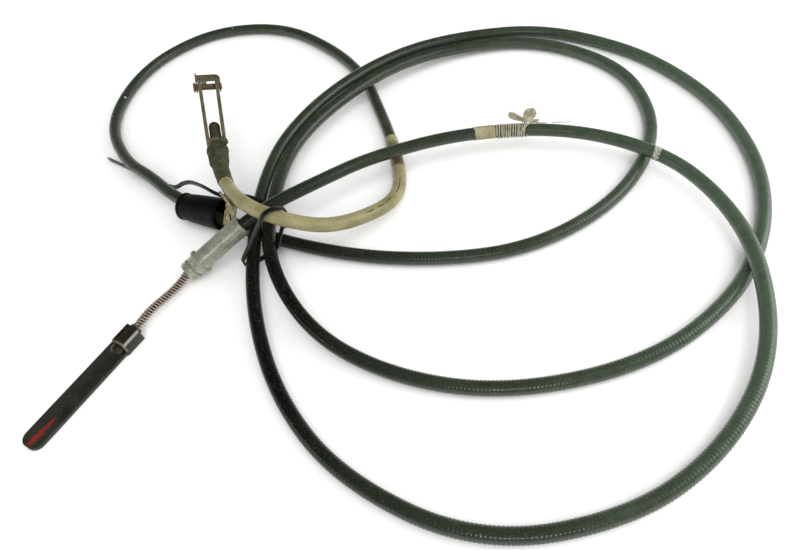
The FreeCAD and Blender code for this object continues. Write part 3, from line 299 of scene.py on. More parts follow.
# The layers under the jacket
LAYER_STEP = 3 * MM
LAYER_SIDES = 10
ARMOUR_RADIUS = 3.55 * MM
ARMOUR_WALL = 1.2 * MM
LINER_RADIUS = 2.2 * MM
LINER_WALL = 0.6 * MM
WIRE_RADIUS = 1.3 * MM
coarse_line, coarse_places = spaced(route_line, LAYER_STEP)
armour = tube(
    "conduit_spiral_armour", coarse_line, coarse_places, ARMOUR_RADIUS, sides=LAYER_SIDES, wall=ARMOUR_WALL,
)
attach(armour, "conduit")
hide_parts("conduit_armour")
liner = tube(
    "conduit_lining", coarse_line, coarse_places, LINER_RADIUS, sides=LAYER_SIDES, wall=LINER_WALL,
)
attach(liner, "conduit")
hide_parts("conduit_liner")

# Fittings' places, as the CAD model has them
MOUTH = Vector((19.417, -24.422, 7.579))
FERRULE_WAY = Vector((0.8067, 0.4496, 0.3835)).normalized()
NIPPLE = Vector((-17.342, -86.331, 7.579))
LEVER_WAY = Vector((0.5105, 0.8599, 0)).normalized()


def heading_matrix(origin, way, up=Vector((0, 0, 1))):
    """X along a way, Z as near to up as it can be; the origin in millimetres."""
    x = way.normalized()
    y = up.cross(x).normalized()
    z = x.cross(y)
    matrix = Matrix((x, y, z)).transposed().to_4x4()
    return Matrix.Translation(origin * MM) @ matrix


# The pull wire's line: before the mouth, in it and behind it, in millimetres, then the conduit's route
WIRE_OUTSIDE = 3.6
WIRE_IN_MOUTH = 0.5
WIRE_BEHIND_MOUTH = 8
WIRE_TO_END = 16.5 * MM
wire_route = [
    tuple(MOUTH - LEVER_WAY * WIRE_OUTSIDE),
    tuple(MOUTH + FERRULE_WAY * WIRE_IN_MOUTH),
    tuple(MOUTH + FERRULE_WAY * WIRE_BEHIND_MOUTH),
    *ROUTE,
]
wire_line = smooth_line(wire_route, steps=24)
wire_line, wire_places = spaced(wire_line, LAYER_STEP, 0, line_length(wire_line) - WIRE_TO_END)
pull_wire = tube("inner_pull_wire", wire_line, wire_places, WIRE_RADIUS, sides=LAYER_SIDES)
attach(pull_wire, "conduit")
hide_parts("inner_wire")


def ripple(scale, places, angles, seed):
    """Gentle uneven waves round and along a tube, from a few fixed sines."""
    shuffle = random.Random(seed)
    total_wave = np.zeros(len(angles))
    for turns in (1, 2, 3):
        for step in range(2):
            phase = shuffle.uniform(0, 6.28)
            pitch = shuffle.uniform(4, 11) * MM
            total_wave += np.sin(turns * angles + 6.28 * places / pitch + phase)
    return total_wave * scale / 6


def on_conduit(name, node, start, end, gap, radius, wall, sides=28, ragged=None):
    """A tube round the conduit between two lengths along it, in place of a CAD node."""
    line, places = spaced(route_line, gap, start, end)
    made = tube(name, line, places, radius(places), sides=sides, wall=wall, ragged=ragged)
    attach(made, "conduit")
    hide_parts(node)
    return made


SLEEVE_START = total - 268 * MM
SLEEVE_END = total - 33 * MM
SLEEVE_RADIUS = 5.18 * MM
SLEEVE_WALL = 0.36 * MM
SLEEVE_SLACK = 0.10 * MM
SLEEVE_LIP = 0.15 * MM
SLEEVE_LIP_RUN = 2.5 * MM


def sleeve_radius(places):
    def reach(index, angles):
        slack = ripple(SLEEVE_SLACK, places[index], angles, 3)
        lip = SLEEVE_LIP if places[index] - places[0] < SLEEVE_LIP_RUN else 0
        return np.full(len(angles), SLEEVE_RADIUS) + slack + lip
    return reach


sleeve = on_conduit(
    "tan_heat_sleeve", "heat_sleeve", SLEEVE_START, SLEEVE_END, 1.2 * MM,
    sleeve_radius, SLEEVE_WALL,
)

# Tape wrap: how its radius grows towards the boot, its lap and its creases
WRAP_START = total - 33.6 * MM
WRAP_END = total - 13.2 * MM
WRAP_RADIUS = 5.42 * MM
WRAP_SWELL = 0.62 * MM
WRAP_SWELL_POWER = 1.3
WRAP_PITCH = 7.5 * MM
WRAP_LAP = 0.30 * MM
WRAP_CREASE = 0.20 * MM
WRAP_WALL = 0.6 * MM


def wrap_radius(places):
    def reach(index, angles):
        here = places[index] - places[0]
        lap = ((here / WRAP_PITCH) + angles / (2 * math.pi)) % 1.0
        share = here / (places[-1] - places[0])
        mean = WRAP_RADIUS + WRAP_SWELL * share ** WRAP_SWELL_POWER
        return mean + WRAP_LAP * lap + ripple(WRAP_CREASE, places[index], angles, 5)
    return reach


wrap = on_conduit(
    "olive_tape_wrap", "tape_wrap", WRAP_START, WRAP_END, 0.6 * MM,
    wrap_radius, WRAP_WALL, sides=40,
)

LABEL_START = 209 * MM
LABEL_END = 225 * MM
LABEL_RADIUS = 5.16 * MM
LABEL_CREASE = 0.07 * MM
LABEL_WALL = 0.12 * MM


def label_radius(places):
    def reach(index, angles):
        return np.full(len(angles), LABEL_RADIUS) + ripple(LABEL_CREASE, places[index], angles, 8)
    return reach


def label_edge(index, angles):
    """How far the label's torn edge reaches along the conduit, the first two rings the most."""
    tear = 0.5 * MM * np.sin(2 * angles + 0.7) + 0.25 * MM * np.sin(5 * angles + 2)
    return tear if index in (0, 1) else 0.4 * tear


label = on_conduit(
    "paper_label_band", "paper_label", LABEL_START, LABEL_END, 0.8 * MM,
    label_radius, LABEL_WALL, sides=40, ragged=label_edge,
)


# The sleeve's cracked line: its angle round the sleeve at its start, and its turn in radians a metre
CRACK_ANGLE = 1.40
CRACK_DRIFT = 8.0


def mark_crack_side(piece, radius):
    """Keep, per vertex, how far round the sleeve it lies from the cracked line, in metres."""
    layer = piece.data.uv_layers["lay"].data
    marks = piece.data.attributes.new("crack_side", "FLOAT", "POINT")
    for polygon in piece.data.polygons:
        for corner in polygon.loop_indices:
            angle = CRACK_ANGLE + CRACK_DRIFT * (layer[corner].uv[1] - SLEEVE_START)
            turn = layer[corner].uv[0] - angle / (2 * math.pi)
            turn -= round(turn)
            marks.data[piece.data.loops[corner].vertex_index].value = turn * 2 * math.pi * radius


mark_crack_side(sleeve, SLEEVE_RADIUS)

MARKER_START = 346 * MM
MARKER_END = 351 * MM
MARKER_RADIUS = 5.09 * MM
MARKER_CREASE = 0.03 * MM
MARKER_WALL = 0.1 * MM


def marker_radius(places):
    def reach(index, angles):
        return np.full(len(angles), MARKER_RADIUS) + ripple(MARKER_CREASE, places[index], angles, 4)
    return reach


def marker_edge(index, angles):
    """How far the marker's worn edge reaches along the conduit."""
    wear = 0.7 * MM * np.sin(angles + 1.1) + 0.4 * MM * np.sin(3 * angles + 0.4)
    return wear + 0.2 * MM * np.sin(7 * angles)


marker = on_conduit(
    "white_marker_band", "marker_ring", MARKER_START, MARKER_END, 0.8 * MM,
    marker_radius, MARKER_WALL, sides=48, ragged=marker_edge,
)

# String: turns round the conduit, and a knot with two bows and loose ends
STRING_START = 226.2 * MM
STRING_TURNS = 13
STRING_PITCH = 1.78 * MM
STRING_RADIUS = 0.52 * MM
STRING_REACH = 5.02 * MM
STRING_TURN_STEPS = 28
STRING_JITTER = 0.42
STRING_LIFT = 0.22


def string_turns():
    """The string's line round the conduit, each turn a little out of place."""
    shuffle = random.Random(11)
    helix_end = STRING_START + STRING_TURNS * STRING_PITCH
    axis_line = spaced(route_line, 0.2 * MM, STRING_START, helix_end)[0]
    headings, side_ways, up_ways = frames_along(axis_line)
    jitter = [shuffle.uniform(-STRING_JITTER, STRING_JITTER) * MM for each in range(STRING_TURNS + 2)]
    lift = [shuffle.uniform(0, STRING_LIFT) * MM for each in range(STRING_TURNS + 2)]
    points = []
    count = STRING_TURNS * STRING_TURN_STEPS
    for step in range(count + 1):
        share = step / count
        turns = share * STRING_TURNS
        index = min(int(share * (len(axis_line) - 1)), len(axis_line) - 1)
        blend = turns - int(turns)
        shift = jitter[int(turns)] * (1 - blend) + jitter[int(turns) + 1] * blend
        rise = lift[int(turns)] * (1 - blend) + lift[int(turns) + 1] * blend
        angle = 2 * math.pi * turns
        reach = STRING_REACH + rise
        points.append(
            axis_line[index] + headings[index] * shift
            + side_ways[index] * reach * math.cos(angle) + up_ways[index] * reach * math.sin(angle)
        )
    return np.array(points)


turns_line = string_turns()
turns_line, turns_places = spaced(turns_line, 0.9 * MM)
string_coils = tube("string_turns_round_conduit", turns_line, turns_places, STRING_RADIUS, sides=8)
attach(string_coils, "conduit")
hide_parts("string_wrap")

# The knot's place, from the conduit's heading there
KNOT_FROM = 247.4 * MM
KNOT_TO = 249 * MM
knot_line = spaced(route_line, 0.5 * MM, KNOT_FROM, KNOT_TO)[0]
knot_way = Vector(knot_line[1] - knot_line[0]).normalized()
KNOT = heading_matrix(Vector(knot_line[0]) / MM, knot_way)


def in_knot(points):
    """Points given along the conduit, across it and up from the knot, as places in millimetres."""
    return [tuple((KNOT @ (Vector(point) * MM)) / MM) for point in points]


# Each strand: its radius in millimetres, then its points
KNOT_STRANDS = [
    (0.95, [(1, 3.5, 7), (-3, 5, 8.2), (-7, 7, 9.8), (-10, 8.4, 10.6), (-11.6, 7.8, 9.4), (-10.6, 6.2, 7.6),
            (-6.5, 4.8, 6.8), (-2, 3.8, 6.4), (1, 3.2, 6.4)]),
    (0.85, [(0, 4.2, 6.6), (-4, 6.2, 7.8), (-8, 8.2, 9.6), (-10.4, 9, 9.8), (-10.8, 8, 8.2), (-8, 6.4, 7.0),
            (-3, 4.8, 6.2), (1, 3.6, 6.0)]),
    (0.95, [(-0.5, 3.4, 7), (1.5, 6, 10), (3.5, 8.4, 12.2), (6, 9.4, 12.8), (8, 8.6, 11.6), (8, 6.8, 9.4),
            (5.5, 5, 7.8), (2, 3.8, 6.8), (0, 3.2, 6.4)]),
    (0.92, [(-0.5, 3.6, 6.8), (0.2, 6.4, 10), (1.2, 8.6, 11.8), (3.4, 9.4, 12.4), (5.6, 8.8, 11.4),
            (6, 6.8, 9.2), (4, 4.8, 7.6), (1, 3.6, 6.6)]),
    (0.92, [(0, 3.4, 6.8), (2.5, 5.4, 9), (5.5, 7.4, 11), (8, 8.2, 11.2), (8.8, 7.2, 9.6), (7.2, 5.4, 7.8),
            (4, 4, 6.8), (1, 3.2, 6.4)]),
    (0.90, [(-0.6, 4.2, 6.4), (1.8, 6.8, 9.2), (4.4, 8.8, 11), (6.4, 8.6, 10.2), (5.8, 6.6, 8.4),
            (3.4, 4.8, 7.0), (0.6, 3.8, 6.2)]),
    (0.95, [(-1.4, 2.4, 5.9), (0.6, 4.0, 7.6), (2.4, 4.2, 7.2), (2.0, 2.2, 5.8), (0.2, 1.6, 5.6)]),
    (0.8, [(0, 3, 6.4), (4, 3.6, 6.4), (8, 4.2, 6.0), (11.4, 4.6, 5.6)]),
    (0.75, [(0.6, 2.2, 6.0), (5, 3.2, 5.8), (9.6, 4.2, 5.2)]),
    (0.55, [(11, 4.8, 3.2), (7, 3.6, 4.5), (3.6, 1.2, 5.5), (0.2, -2.6, 4.8), (-2.8, -5.1, 1.2),
            (-4, -5.0, -1)]),
    (0.50, [(9.6, 4.4, 4.0), (5.8, 2.8, 5.0), (2.2, -0.4, 5.5), (-0.8, -3.4, 4.2), (-3, -5.2, 0.6)]),
    (0.85, [(0, 4.0, 6.6), (3.2, 6.0, 8.8), (5.6, 7.4, 10), (6.6, 7.2, 9.6), (4.8, 5.6, 8.0),
            (1.6, 4.0, 6.6)]),
    (0.85, [(0, 3.8, 6.8), (-4, 5.6, 7.8), (-8.4, 7.4, 9), (-9.6, 7.4, 8.8), (-7, 5.8, 7.4),
            (-1, 3.8, 6.4)]),
    (0.34, [(6, 4.2, 3.9), (11, 4.0, 3.2), (14, 4.2, 3.0), (17, 3.9, 3.2)]),
    (0.30, [(21, 4.0, 3.0), (24, 4.3, 3.4), (26.5, 4.1, 3.6), (29, 3.9, 3.1)]),
    (0.26, [(22, 4.3, 2.7), (25, 3.8, 3.6), (28.5, 4.5, 3.1), (32, 4.0, 2.9)]),
    (0.30, [(31, 3.9, 3.0), (33.5, 4.3, 3.4), (35, 4.9, 3.9), (34.6, 4.2, 3.0)]),
    (0.26, [(18, -4.3, -1.9), (20, -4.5, -2.5), (23, -4.3, -2.9), (26, -4.2, -2.3)]),
    (0.22, [(19, -4.7, -1.2), (22, -4.9, -2.1), (25, -4.7, -1.7)]),
]


def joined(objects, name):
    """Several objects made one, under one name."""
    deselect()
    for item in objects:
        item.select_set(True)
    bpy.context.view_layer.objects.active = objects[0]
    bpy.ops.object.join()
    made = bpy.context.object
    made.name = name
    made.data.name = name
    return made


strands = []
for number, (thickness, points) in enumerate(KNOT_STRANDS):
    strand_line, strand_places = spaced(smooth_line(in_knot(points), steps=12), 0.6 * MM)
    strands.append(tube("knot_strand_%d" % number, strand_line, strand_places, thickness * MM, sides=10))
bow = joined(strands, "string_bow_knot")
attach(bow, "conduit")
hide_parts("string_knot")


# Metal and plastic fittings: the CAD solids with their edges broken
def dressed(name, node, body, width, segments=2, angle=32):
    """A copy of a CAD solid with rounded edges that stands for it."""
    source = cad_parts[node]
    mesh = source.data.copy()
    mesh.materials.clear()
    made = bpy.data.objects.new(name, mesh)
    mesh.name = name
    bpy.context.scene.collection.objects.link(made)
    deselect()
    made.select_set(True)
    bpy.context.view_layer.objects.active = made
    bpy.ops.object.mode_set(mode="EDIT")
    bpy.ops.mesh.select_all(action="SELECT")
    bpy.ops.mesh.remove_doubles(threshold=1e-6)
    bpy.ops.mesh.dissolve_limited(angle_limit=math.radians(1))
    bpy.ops.object.mode_set(mode="OBJECT")
    if width:
        rounding = made.modifiers.new("edges", "BEVEL")
        rounding.width = width * MM
        rounding.segments = segments
        rounding.limit_method = "ANGLE"
        rounding.angle_limit = math.radians(angle)
        rounding.use_clamp_overlap = True
        bpy.ops.object.modifier_apply(modifier="edges")
    bpy.ops.object.shade_smooth_by_angle(angle=math.radians(40))
    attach(made, body)
    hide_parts(node)
    return made


ferrule = dressed("cast_ferrule", "lever_ferrule", "conduit", 0.35)
bush = dressed("guide_bush", "ferrule_bush", "conduit", 0.2)
nipple = dressed("ball_nipple", "wire_nipple", "lever_wire_end", 0.15)
lever = dressed("hooked_lever", "brake_lever", "brake_lever", 0.3)
washer = dressed("spring_seat_washer", "spring_washer", "lever_wire_end", 0.15)
cap = dressed("conduit_end_cap", "yoke_end_cap", "conduit", 0.3)
rod = dressed("yoke_pull_rod", "yoke_rod", "yoke_wire_end", 0.15)
barrel = dressed("domed_barrel", "rod_barrel", "yoke_wire_end", 0.3)
barrel_washer = dressed("barrel_seat_washer", "barrel_washer", "yoke_wire_end", 0.15)
yoke = dressed("bent_strap_yoke", "yoke_strap", "yoke", 0.35)
pin = dressed("headed_clevis_pin", "clevis_pin", "clevis_pin", 0.35)
clip = dressed("spring_strip_clip", "pin_clip", "pin_clip", 0.25)

# The clip's folded web between its left eye and the bridge, in the yoke's own directions
YOKE_BASE = Vector((34.513, 72.099, 41.009))
YOKE_WAY = Vector((-0.2365, 0.9642, 0.1201))
YOKE_UP = Vector((0.2461, -0.0601, 0.9674))
YOKE = heading_matrix(YOKE_BASE, YOKE_WAY, YOKE_UP)
# Over the pin it stays inside the yoke's arm, and past the arm's tip it runs out to the clip's side
WEB_PLATES = (((66.8, 1.2, 2.65), (78.0, 5.2, 3.25)), ((72.9, 5.0, 2.65), (78.0, 8.9, 3.25)))
plates = []
for near_corner, far_corner in WEB_PLATES:
    deselect()
    bpy.ops.mesh.primitive_cube_add(size=1)
    plate = bpy.context.object
    for vertex in plate.data.vertices:
        share = vertex.co + Vector((0.5, 0.5, 0.5))
        spot = Vector([low + (high - low) * part for low, high, part in zip(near_corner, far_corner, share)])
        vertex.co = YOKE @ (spot * MM)
    rounding = plate.modifiers.new("edges", "BEVEL")
    rounding.width = 0.2 * MM
    rounding.segments = 2
    bpy.ops.object.modifier_apply(modifier="edges")
    plates.append(plate)
clip = joined([clip, *plates], "spring_strip_clip")

tie = dressed("nylon_cable_tie", "cable_tie", "conduit", 0.25)
bracket = dressed("drilled_sheet_bracket", "sheet_bracket", "conduit", 0.3)

boot = dressed("ribbed_end_boot", "ribbed_boot", "conduit", 0.4)
gaiter = dressed("flared_gaiter", "rubber_gaiter", "conduit", 0.4)

# A blister of the perished boot beside its mouth, to the photograph's right of the yoke's base
BLISTER_PLACE = Vector((41.7, 69.5, 46.4))
BLISTER_REACH = Vector((3.5, 2.8, 3.8))
deselect()
bpy.ops.mesh.primitive_uv_sphere_add(segments=28, ring_count=18, radius=1)
blister = bpy.context.object
blister.name = "boot_blister"
for vertex in blister.data.vertices:
    lump = 0.07 * math.sin(3.1 * vertex.co.x + 2.3 * vertex.co.z + 0.6)
    uneven = 1 + lump + 0.05 * math.sin(4.7 * vertex.co.y)
    offset = Vector([reach * share for reach, share in zip(BLISTER_REACH, vertex.co * uneven)])
    vertex.co = (BLISTER_PLACE + offset) * MM
bpy.ops.object.shade_smooth()
boot = joined([boot, blister], "ribbed_end_boot")

# Return spring round the exposed wire, both a little bent, as old ones are
LEVER = heading_matrix(NIPPLE, LEVER_WAY)
BEND_FROM = 19.0
BEND_RUN = 52.0
BEND_SIDE = 1.25
BEND_LIFT = 0.25


def bent(x):
    """Sideways and upward bend of the exposed wire, in millimetres."""
    share = min(max((x - BEND_FROM) / BEND_RUN, 0), 1)
    wave = math.sin(2 * math.pi * share)
    return BEND_SIDE * wave, BEND_LIFT * wave


def in_lever(points):
    """Points given along the lever wire from the nipple, across it and up, as places in metres."""
    return np.array([tuple(LEVER @ (Vector(point) * MM)) for point in points])


SPRING_TURNS = 24
SPRING_FROM = 19.98
SPRING_TO = 71.10
SPRING_REACH = 2.6
SPRING_WIRE = 0.6 * MM
SPRING_TURN_STEPS = 20
SPRING_STEPS = SPRING_TURNS * SPRING_TURN_STEPS
spring_points = []
for step in range(SPRING_STEPS + 1):
    share = step / SPRING_STEPS
    angle = 2 * math.pi * SPRING_TURNS * share
    x = SPRING_FROM + (SPRING_TO - SPRING_FROM) * share
    side, lift = bent(x)
    across = side + SPRING_REACH * math.cos(angle)
    spring_points.append((x, across, lift + SPRING_REACH * math.sin(angle)))
spring_line, spring_places = spaced(in_lever(spring_points), 0.8 * MM)
spring = tube("rusty_return_spring", spring_line, spring_places, SPRING_WIRE, sides=10)
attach(spring, "conduit")
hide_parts("return_spring")

# The exposed wire bends a little less than the spring, and fills more of it once it is inside
EXPOSED_FROM = 7.0
EXPOSED_TO = 68.4
EXPOSED_BEND = 0.8
STRAND_LAY = 14 * MM
STRAND_COUNT = 7
STRAND_RELIEF = 0.09 * MM
OPEN_RADIUS = 1.22
FILL_RADIUS = 0.33
FILL_FROM = 14
FILL_RUN = 4
wire_points = []
for x in np.linspace(EXPOSED_FROM, EXPOSED_TO, 80):
    side, lift = bent(x)
    wire_points.append((x, side * EXPOSED_BEND, lift * EXPOSED_BEND))
exposed_line, exposed_places = spaced(in_lever(wire_points), 0.5 * MM)


def strand_radius(index, angles):
    twist = exposed_places[index] / STRAND_LAY * 2 * math.pi
    inside = min(max((exposed_places[index] / MM - FILL_FROM) / FILL_RUN, 0), 1)
    relief = STRAND_RELIEF * np.abs(np.sin(STRAND_COUNT / 2 * (angles - twist)))
    return (OPEN_RADIUS + FILL_RADIUS * inside) * MM + relief


exposed = tube("stranded_lever_wire", exposed_line, exposed_places, strand_radius, sides=28)
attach(exposed, "conduit")
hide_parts("lever_wire")
for piece, near, far in ((spring, SPRING_FROM, SPRING_TO), (exposed, EXPOSED_FROM, EXPOSED_TO)):
    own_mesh(piece)


# Materials
def linear(text):
    """A colour written as sRGB hex, made linear."""
    channels = []
    for place in (1, 3, 5):
        value = int(text[place:place + 2], 16) / 255
        channels.append(value / 12.92 if value <= 0.04045 else ((value + 0.055) / 1.055) ** 2.4)
    return (*channels, 1)


def feed(tree, socket, value):
    """Give an input its number or colour, or link it to another node's output."""
    if isinstance(value, bpy.types.NodeSocket):
        tree.links.new(value, socket)
    else:
        socket.default_value = value


def add(tree, kind, inputs=None, **settings):
    """Add one node with its settings, and its inputs as numbers, colours or links."""
    made = tree.nodes.new(kind)
    for name, value in settings.items():
        setattr(made, name, value)
    for name, value in (inputs or {}).items():
        feed(tree, made.inputs[name], value)
    return made


def new_material(name):
    """A new material with its node tree and its shader."""
    made = bpy.data.materials.new(name)
    made.use_nodes = True
    tree = made.node_tree
    shader = tree.nodes["Principled BSDF"]
    return made, tree, shader


def mixed(tree, factor, low, high):
    """A colour between two, by a factor."""
    made = tree.nodes.new("ShaderNodeMix")
    made.data_type = "RGBA"
    for name, value in (("Factor", factor), ("A", low), ("B", high)):
        socket = [item for item in made.inputs if item.name == name and item.enabled][0]
        feed(tree, socket, value)
    return [item for item in made.outputs if item.enabled][0]


def spots(tree, where, size_mm, low, high, detail=4.0):
    """Soft noise of a real size in millimetres, as a factor from 0 to 1 between two limits."""
    return ranged(tree, noise(tree, where, 1000 / size_mm, detail), low, high)


def noise(tree, where, scale, detail):
    return add(tree, "ShaderNodeTexNoise", {"Vector": where, "Scale": scale, "Detail": detail}).outputs[0]


def ranged(tree, value, low, high, to_low=0.0, to_high=1.0):
    """A value's run from low to high, carried over to another run and held at its ends."""
    return add(tree, "ShaderNodeMapRange", {
        "Value": value, "From Min": low, "From Max": high, "To Min": to_low, "To Max": to_high,
    }).outputs[0]


def maths(tree, operation, first, second=0.0):
    made = add(tree, "ShaderNodeMath", operation=operation)
    feed(tree, made.inputs[0], first)
    feed(tree, made.inputs[1], second)
    return made.outputs[0]


def times(tree, first, second):
    return maths(tree, "MULTIPLY", first, second)


def dotted(tree, vector, way):
    """How far a vector reaches along a fixed way."""
    made = add(tree, "ShaderNodeVectorMath", {"Vector": vector}, operation="DOT_PRODUCT")
    made.inputs[1].default_value = way
    return made.outputs["Value"]


def surface(tree, shader, colour, roughness, metallic=0.0, height=None, depth_mm=0.05, specular=0.5):
    """Wire a finish's colour, roughness and height to its shader."""
    feed(tree, shader.inputs["Base Color"], colour)
    feed(tree, shader.inputs["Roughness"], roughness)
    feed(tree, shader.inputs["Metallic"], metallic)
    feed(tree, shader.inputs["Specular IOR Level"], specular)
    if height is not None:
        bump = add(tree, "ShaderNodeBump", {"Height": height, "Strength": 1.0, "Distance": depth_mm * MM})
        tree.links.new(bump.outputs[0], shader.inputs["Normal"])


def object_place(tree):
    """Where a point lies in the scene: every piece has its origin at the scene's."""
    return add(tree, "ShaderNodeTexCoord").outputs["Object"]


def band(tree, value, low, high, soft):
    """A factor that is 1 between two limits and fades out over a soft run on each side."""
    rise = ranged(tree, value, low - soft / 2, low + soft / 2)
    fall = ranged(tree, value, high + soft / 2, high - soft / 2)
    return times(tree, rise, fall)


FLECK_WAVER = 0.0008
FLECK_CORE = 0.8


def flecked(tree, where, colour, flecks, paint):
    """Small ragged flecks of paint at given places in millimetres, each with its radius."""
    waver = ranged(tree, noise(tree, where, 900.0, 3.0), 0, 1, -FLECK_WAVER, FLECK_WAVER)
    for place, radius in flecks:
        gap = add(tree, "ShaderNodeVectorMath", {"Vector": where}, operation="DISTANCE")
        gap.inputs[1].default_value = Vector(place) * MM
        reach = maths(tree, "ADD", gap.outputs["Value"], waver)
        share = ranged(tree, reach, radius * MM, radius * FLECK_CORE * MM)
        colour = mixed(tree, share, colour, paint)
    return colour


def crack_distance(tree):
    """Distance round the sleeve from its cracked line, in metres."""
    return add(tree, "ShaderNodeAttribute", attribute_name="crack_side").outputs["Fac"]


# Flecks of pale paint on the small loop: the place in millimetres and the radius
JACKET_FLECKS = [
    ((-86.8, 192.6, 8.6), 1.0),
    ((-82.0, 187.5, 8.0), 1.4),
    ((-90.3, 163.6, 8.6), 1.3),
    ((0.5, 292.0, 9.0), 0.6),
    ((3.4, 292.4, 9.0), 0.5),
]


# Where the jacket is painted lighter towards the right as painted light, and near black low on the left as
# painted shade, in metres
LIGHT_X = (0.24, 0.42)
SHADE_X = (0.20, 0.10)
SHADE_Y = (0.06, -0.03)


# Extruded PVC, ribbed: dark olive, with painted shade in near black and less gloss low on the left at the
# gathered ends, and painted light in a lighter green towards the right
def vinyl():
    made, tree, shader = new_material("extruded_pvc_ribbed_olive_black")
    where = object_place(tree)
    split = add(tree, "ShaderNodeSeparateXYZ", {"Vector": where})
    patches = spots(tree, where, 60, 0.40, 0.62)
    mottle = spots(tree, where, 7, 0.35, 0.70)
    dust = spots(tree, where, 1.1, 0.56, 0.74)
    olive = mixed(tree, mottle, linear("#252b20"), linear("#343b2c"))
    aged = mixed(tree, patches, olive, linear("#283025"))
    # Painted light: a lighter green towards the right, on the side the light comes from
    painted_right_light = times(tree, ranged(tree, split.outputs[0], *LIGHT_X), ranged(tree, mottle, 0, 1, 0.7, 1.0))
    right_lit_colour = mixed(tree, painted_right_light, aged, linear("#4a5a49"))
    # Painted shade: near black low on the left, with a lower specular level there too
    painted_left_shade = times(tree, ranged(tree, split.outputs[0], *SHADE_X), ranged(tree, split.outputs[1], *SHADE_Y))
    dark = mixed(tree, painted_left_shade, right_lit_colour, linear("#0b0b09"))
    dusty = mixed(tree, times(tree, dust, 0.16), dark, linear("#8b8f80"))
    colour = flecked(tree, where, dusty, JACKET_FLECKS, linear("#c9c6b6"))
    rough = ranged(tree, spots(tree, where, 9, 0.3, 0.7), 0, 1, 0.17, 0.30)
    gloss = ranged(tree, painted_left_shade, 0, 1, 0.5, 0.2)
    grain = noise(tree, where, 1400.0, 3.0)
    surface(tree, shader, colour, rough, height=grain, depth_mm=0.03, specular=gloss)
    return made


# The sleeve's bands from its start, dull and scorched, and the run of its cracks
DULL_BAND = (8 * MM, 24 * MM)
SCORCH_BAND = (24 * MM, 37 * MM)
CRACK_RUN = (38 * MM, 108 * MM)
CRACK_WAVER = 0.0016
CRACK_EDGE = (0.00050, 0.00022)


# Vinyl heat sleeve: tan and grimy, scorched brown near its start, and cracked along its bend
def tan_vinyl():
    made, tree, shader = new_material("pvc_sleeve_tan_scorched")
    where = object_place(tree)
    lay = add(tree, "ShaderNodeUVMap", uv_map="lay")
    along = add(tree, "ShaderNodeSeparateXYZ", {"Vector": lay.outputs[0]}).outputs[1]
    blotch = spots(tree, where, 14, 0.38, 0.68)
    fine = spots(tree, where, 1.6, 0.45, 0.75)
    base = mixed(tree, blotch, linear("#969069"), linear("#7d774f"))
    along = maths(tree, "SUBTRACT", along, SLEEVE_START)
    grime = mixed(tree, times(tree, fine, 0.5), base, linear("#645c38"))
    dull = band(tree, along, *DULL_BAND, 4 * MM)
    dulled = mixed(tree, times(tree, dull, 0.75), grime, linear("#55573a"))
    scorch = times(tree, band(tree, along, *SCORCH_BAND, 3 * MM), ranged(tree, blotch, 0, 1, 0.75, 1.0))
    scorched = mixed(tree, scorch, dulled, linear("#4a3a22"))
    # Short dark cracks strung along the sleeve's cracked line
    waver = ranged(tree, noise(tree, where, 130.0, 3.0), 0, 1, -CRACK_WAVER, CRACK_WAVER)
    across = maths(tree, "ADD", crack_distance(tree), waver)
    line = ranged(tree, maths(tree, "ABSOLUTE", across), *CRACK_EDGE)
    dashes = ranged(tree, spots(tree, where, 4.5, 0.44, 0.54, detail=2.0), 0.1, 0.6)
    cracks = times(tree, times(tree, line, dashes), band(tree, along, *CRACK_RUN, 3 * MM))
    colour = mixed(tree, cracks, scorched, linear("#231f10"))
    rough = ranged(tree, blotch, 0, 1, 0.30, 0.44)
    height = maths(tree, "SUBTRACT", noise(tree, where, 700.0, 4.0), times(tree, cracks, 2.0))
    surface(tree, shader, colour, rough, height=height, depth_mm=0.08)
    return made


# The way that the darker side of the string and the label faces, painted shade with some dirt, and how much
# of it the darkening covers
BACK_SHADE_WAY = Vector((0, 0.88, 0.47))
BACK_SHADE_SHARE = 0.8


def back_facing_shade(tree):
    """A factor that is 1 where a surface faces back and up."""
    normal = add(tree, "ShaderNodeNewGeometry").outputs["Normal"]
    return ranged(tree, dotted(tree, normal, BACK_SHADE_WAY), 0.55, 0.85)


# A patchy finish: two colours, a third for grime or rust, and a grain
def patchy(name, low, high, third, size_mm, third_share, rough_low, rough_high, metallic=0.0,
           grain_mm=0.6, depth_mm=0.06, specular=0.5, third_size_mm=2.2, painted_back_shade=None):
    made, tree, shader = new_material(name)
    where = object_place(tree)
    blotch = spots(tree, where, size_mm, 0.36, 0.66)
    base = mixed(tree, blotch, linear(low), linear(high))
    edge = 0.72 - 0.3 * third_share
    worn = spots(tree, where, third_size_mm, edge, edge + 0.12, detail=6.0)
    colour = mixed(tree, worn, base, linear(third))
    # Painted shade with some dirt: darker where the surface faces back and up
    if painted_back_shade:
        colour = mixed(tree, times(tree, back_facing_shade(tree), BACK_SHADE_SHARE), colour, linear(painted_back_shade))
    rough = ranged(tree, spots(tree, where, size_mm * 0.4, 0.3, 0.7), 0, 1, rough_low, rough_high)
    metal = ranged(tree, worn, 0, 1, metallic, metallic * 0.25) if metallic else 0.0
    surface(tree, shader, colour, rough, metal, noise(tree, where, 1000 / grain_mm, 4.0), depth_mm, specular)
    return made


# Painted steel of the lever: dark olive black, with one rubbed streak of red left near the tip
STREAK_FROM = (-75.5, 3.6)
STREAK_TO = (-55.5, 2.4)
STREAK_WIDTHS = (3.0, 1.2)
STREAK_RAGGED = 0.45
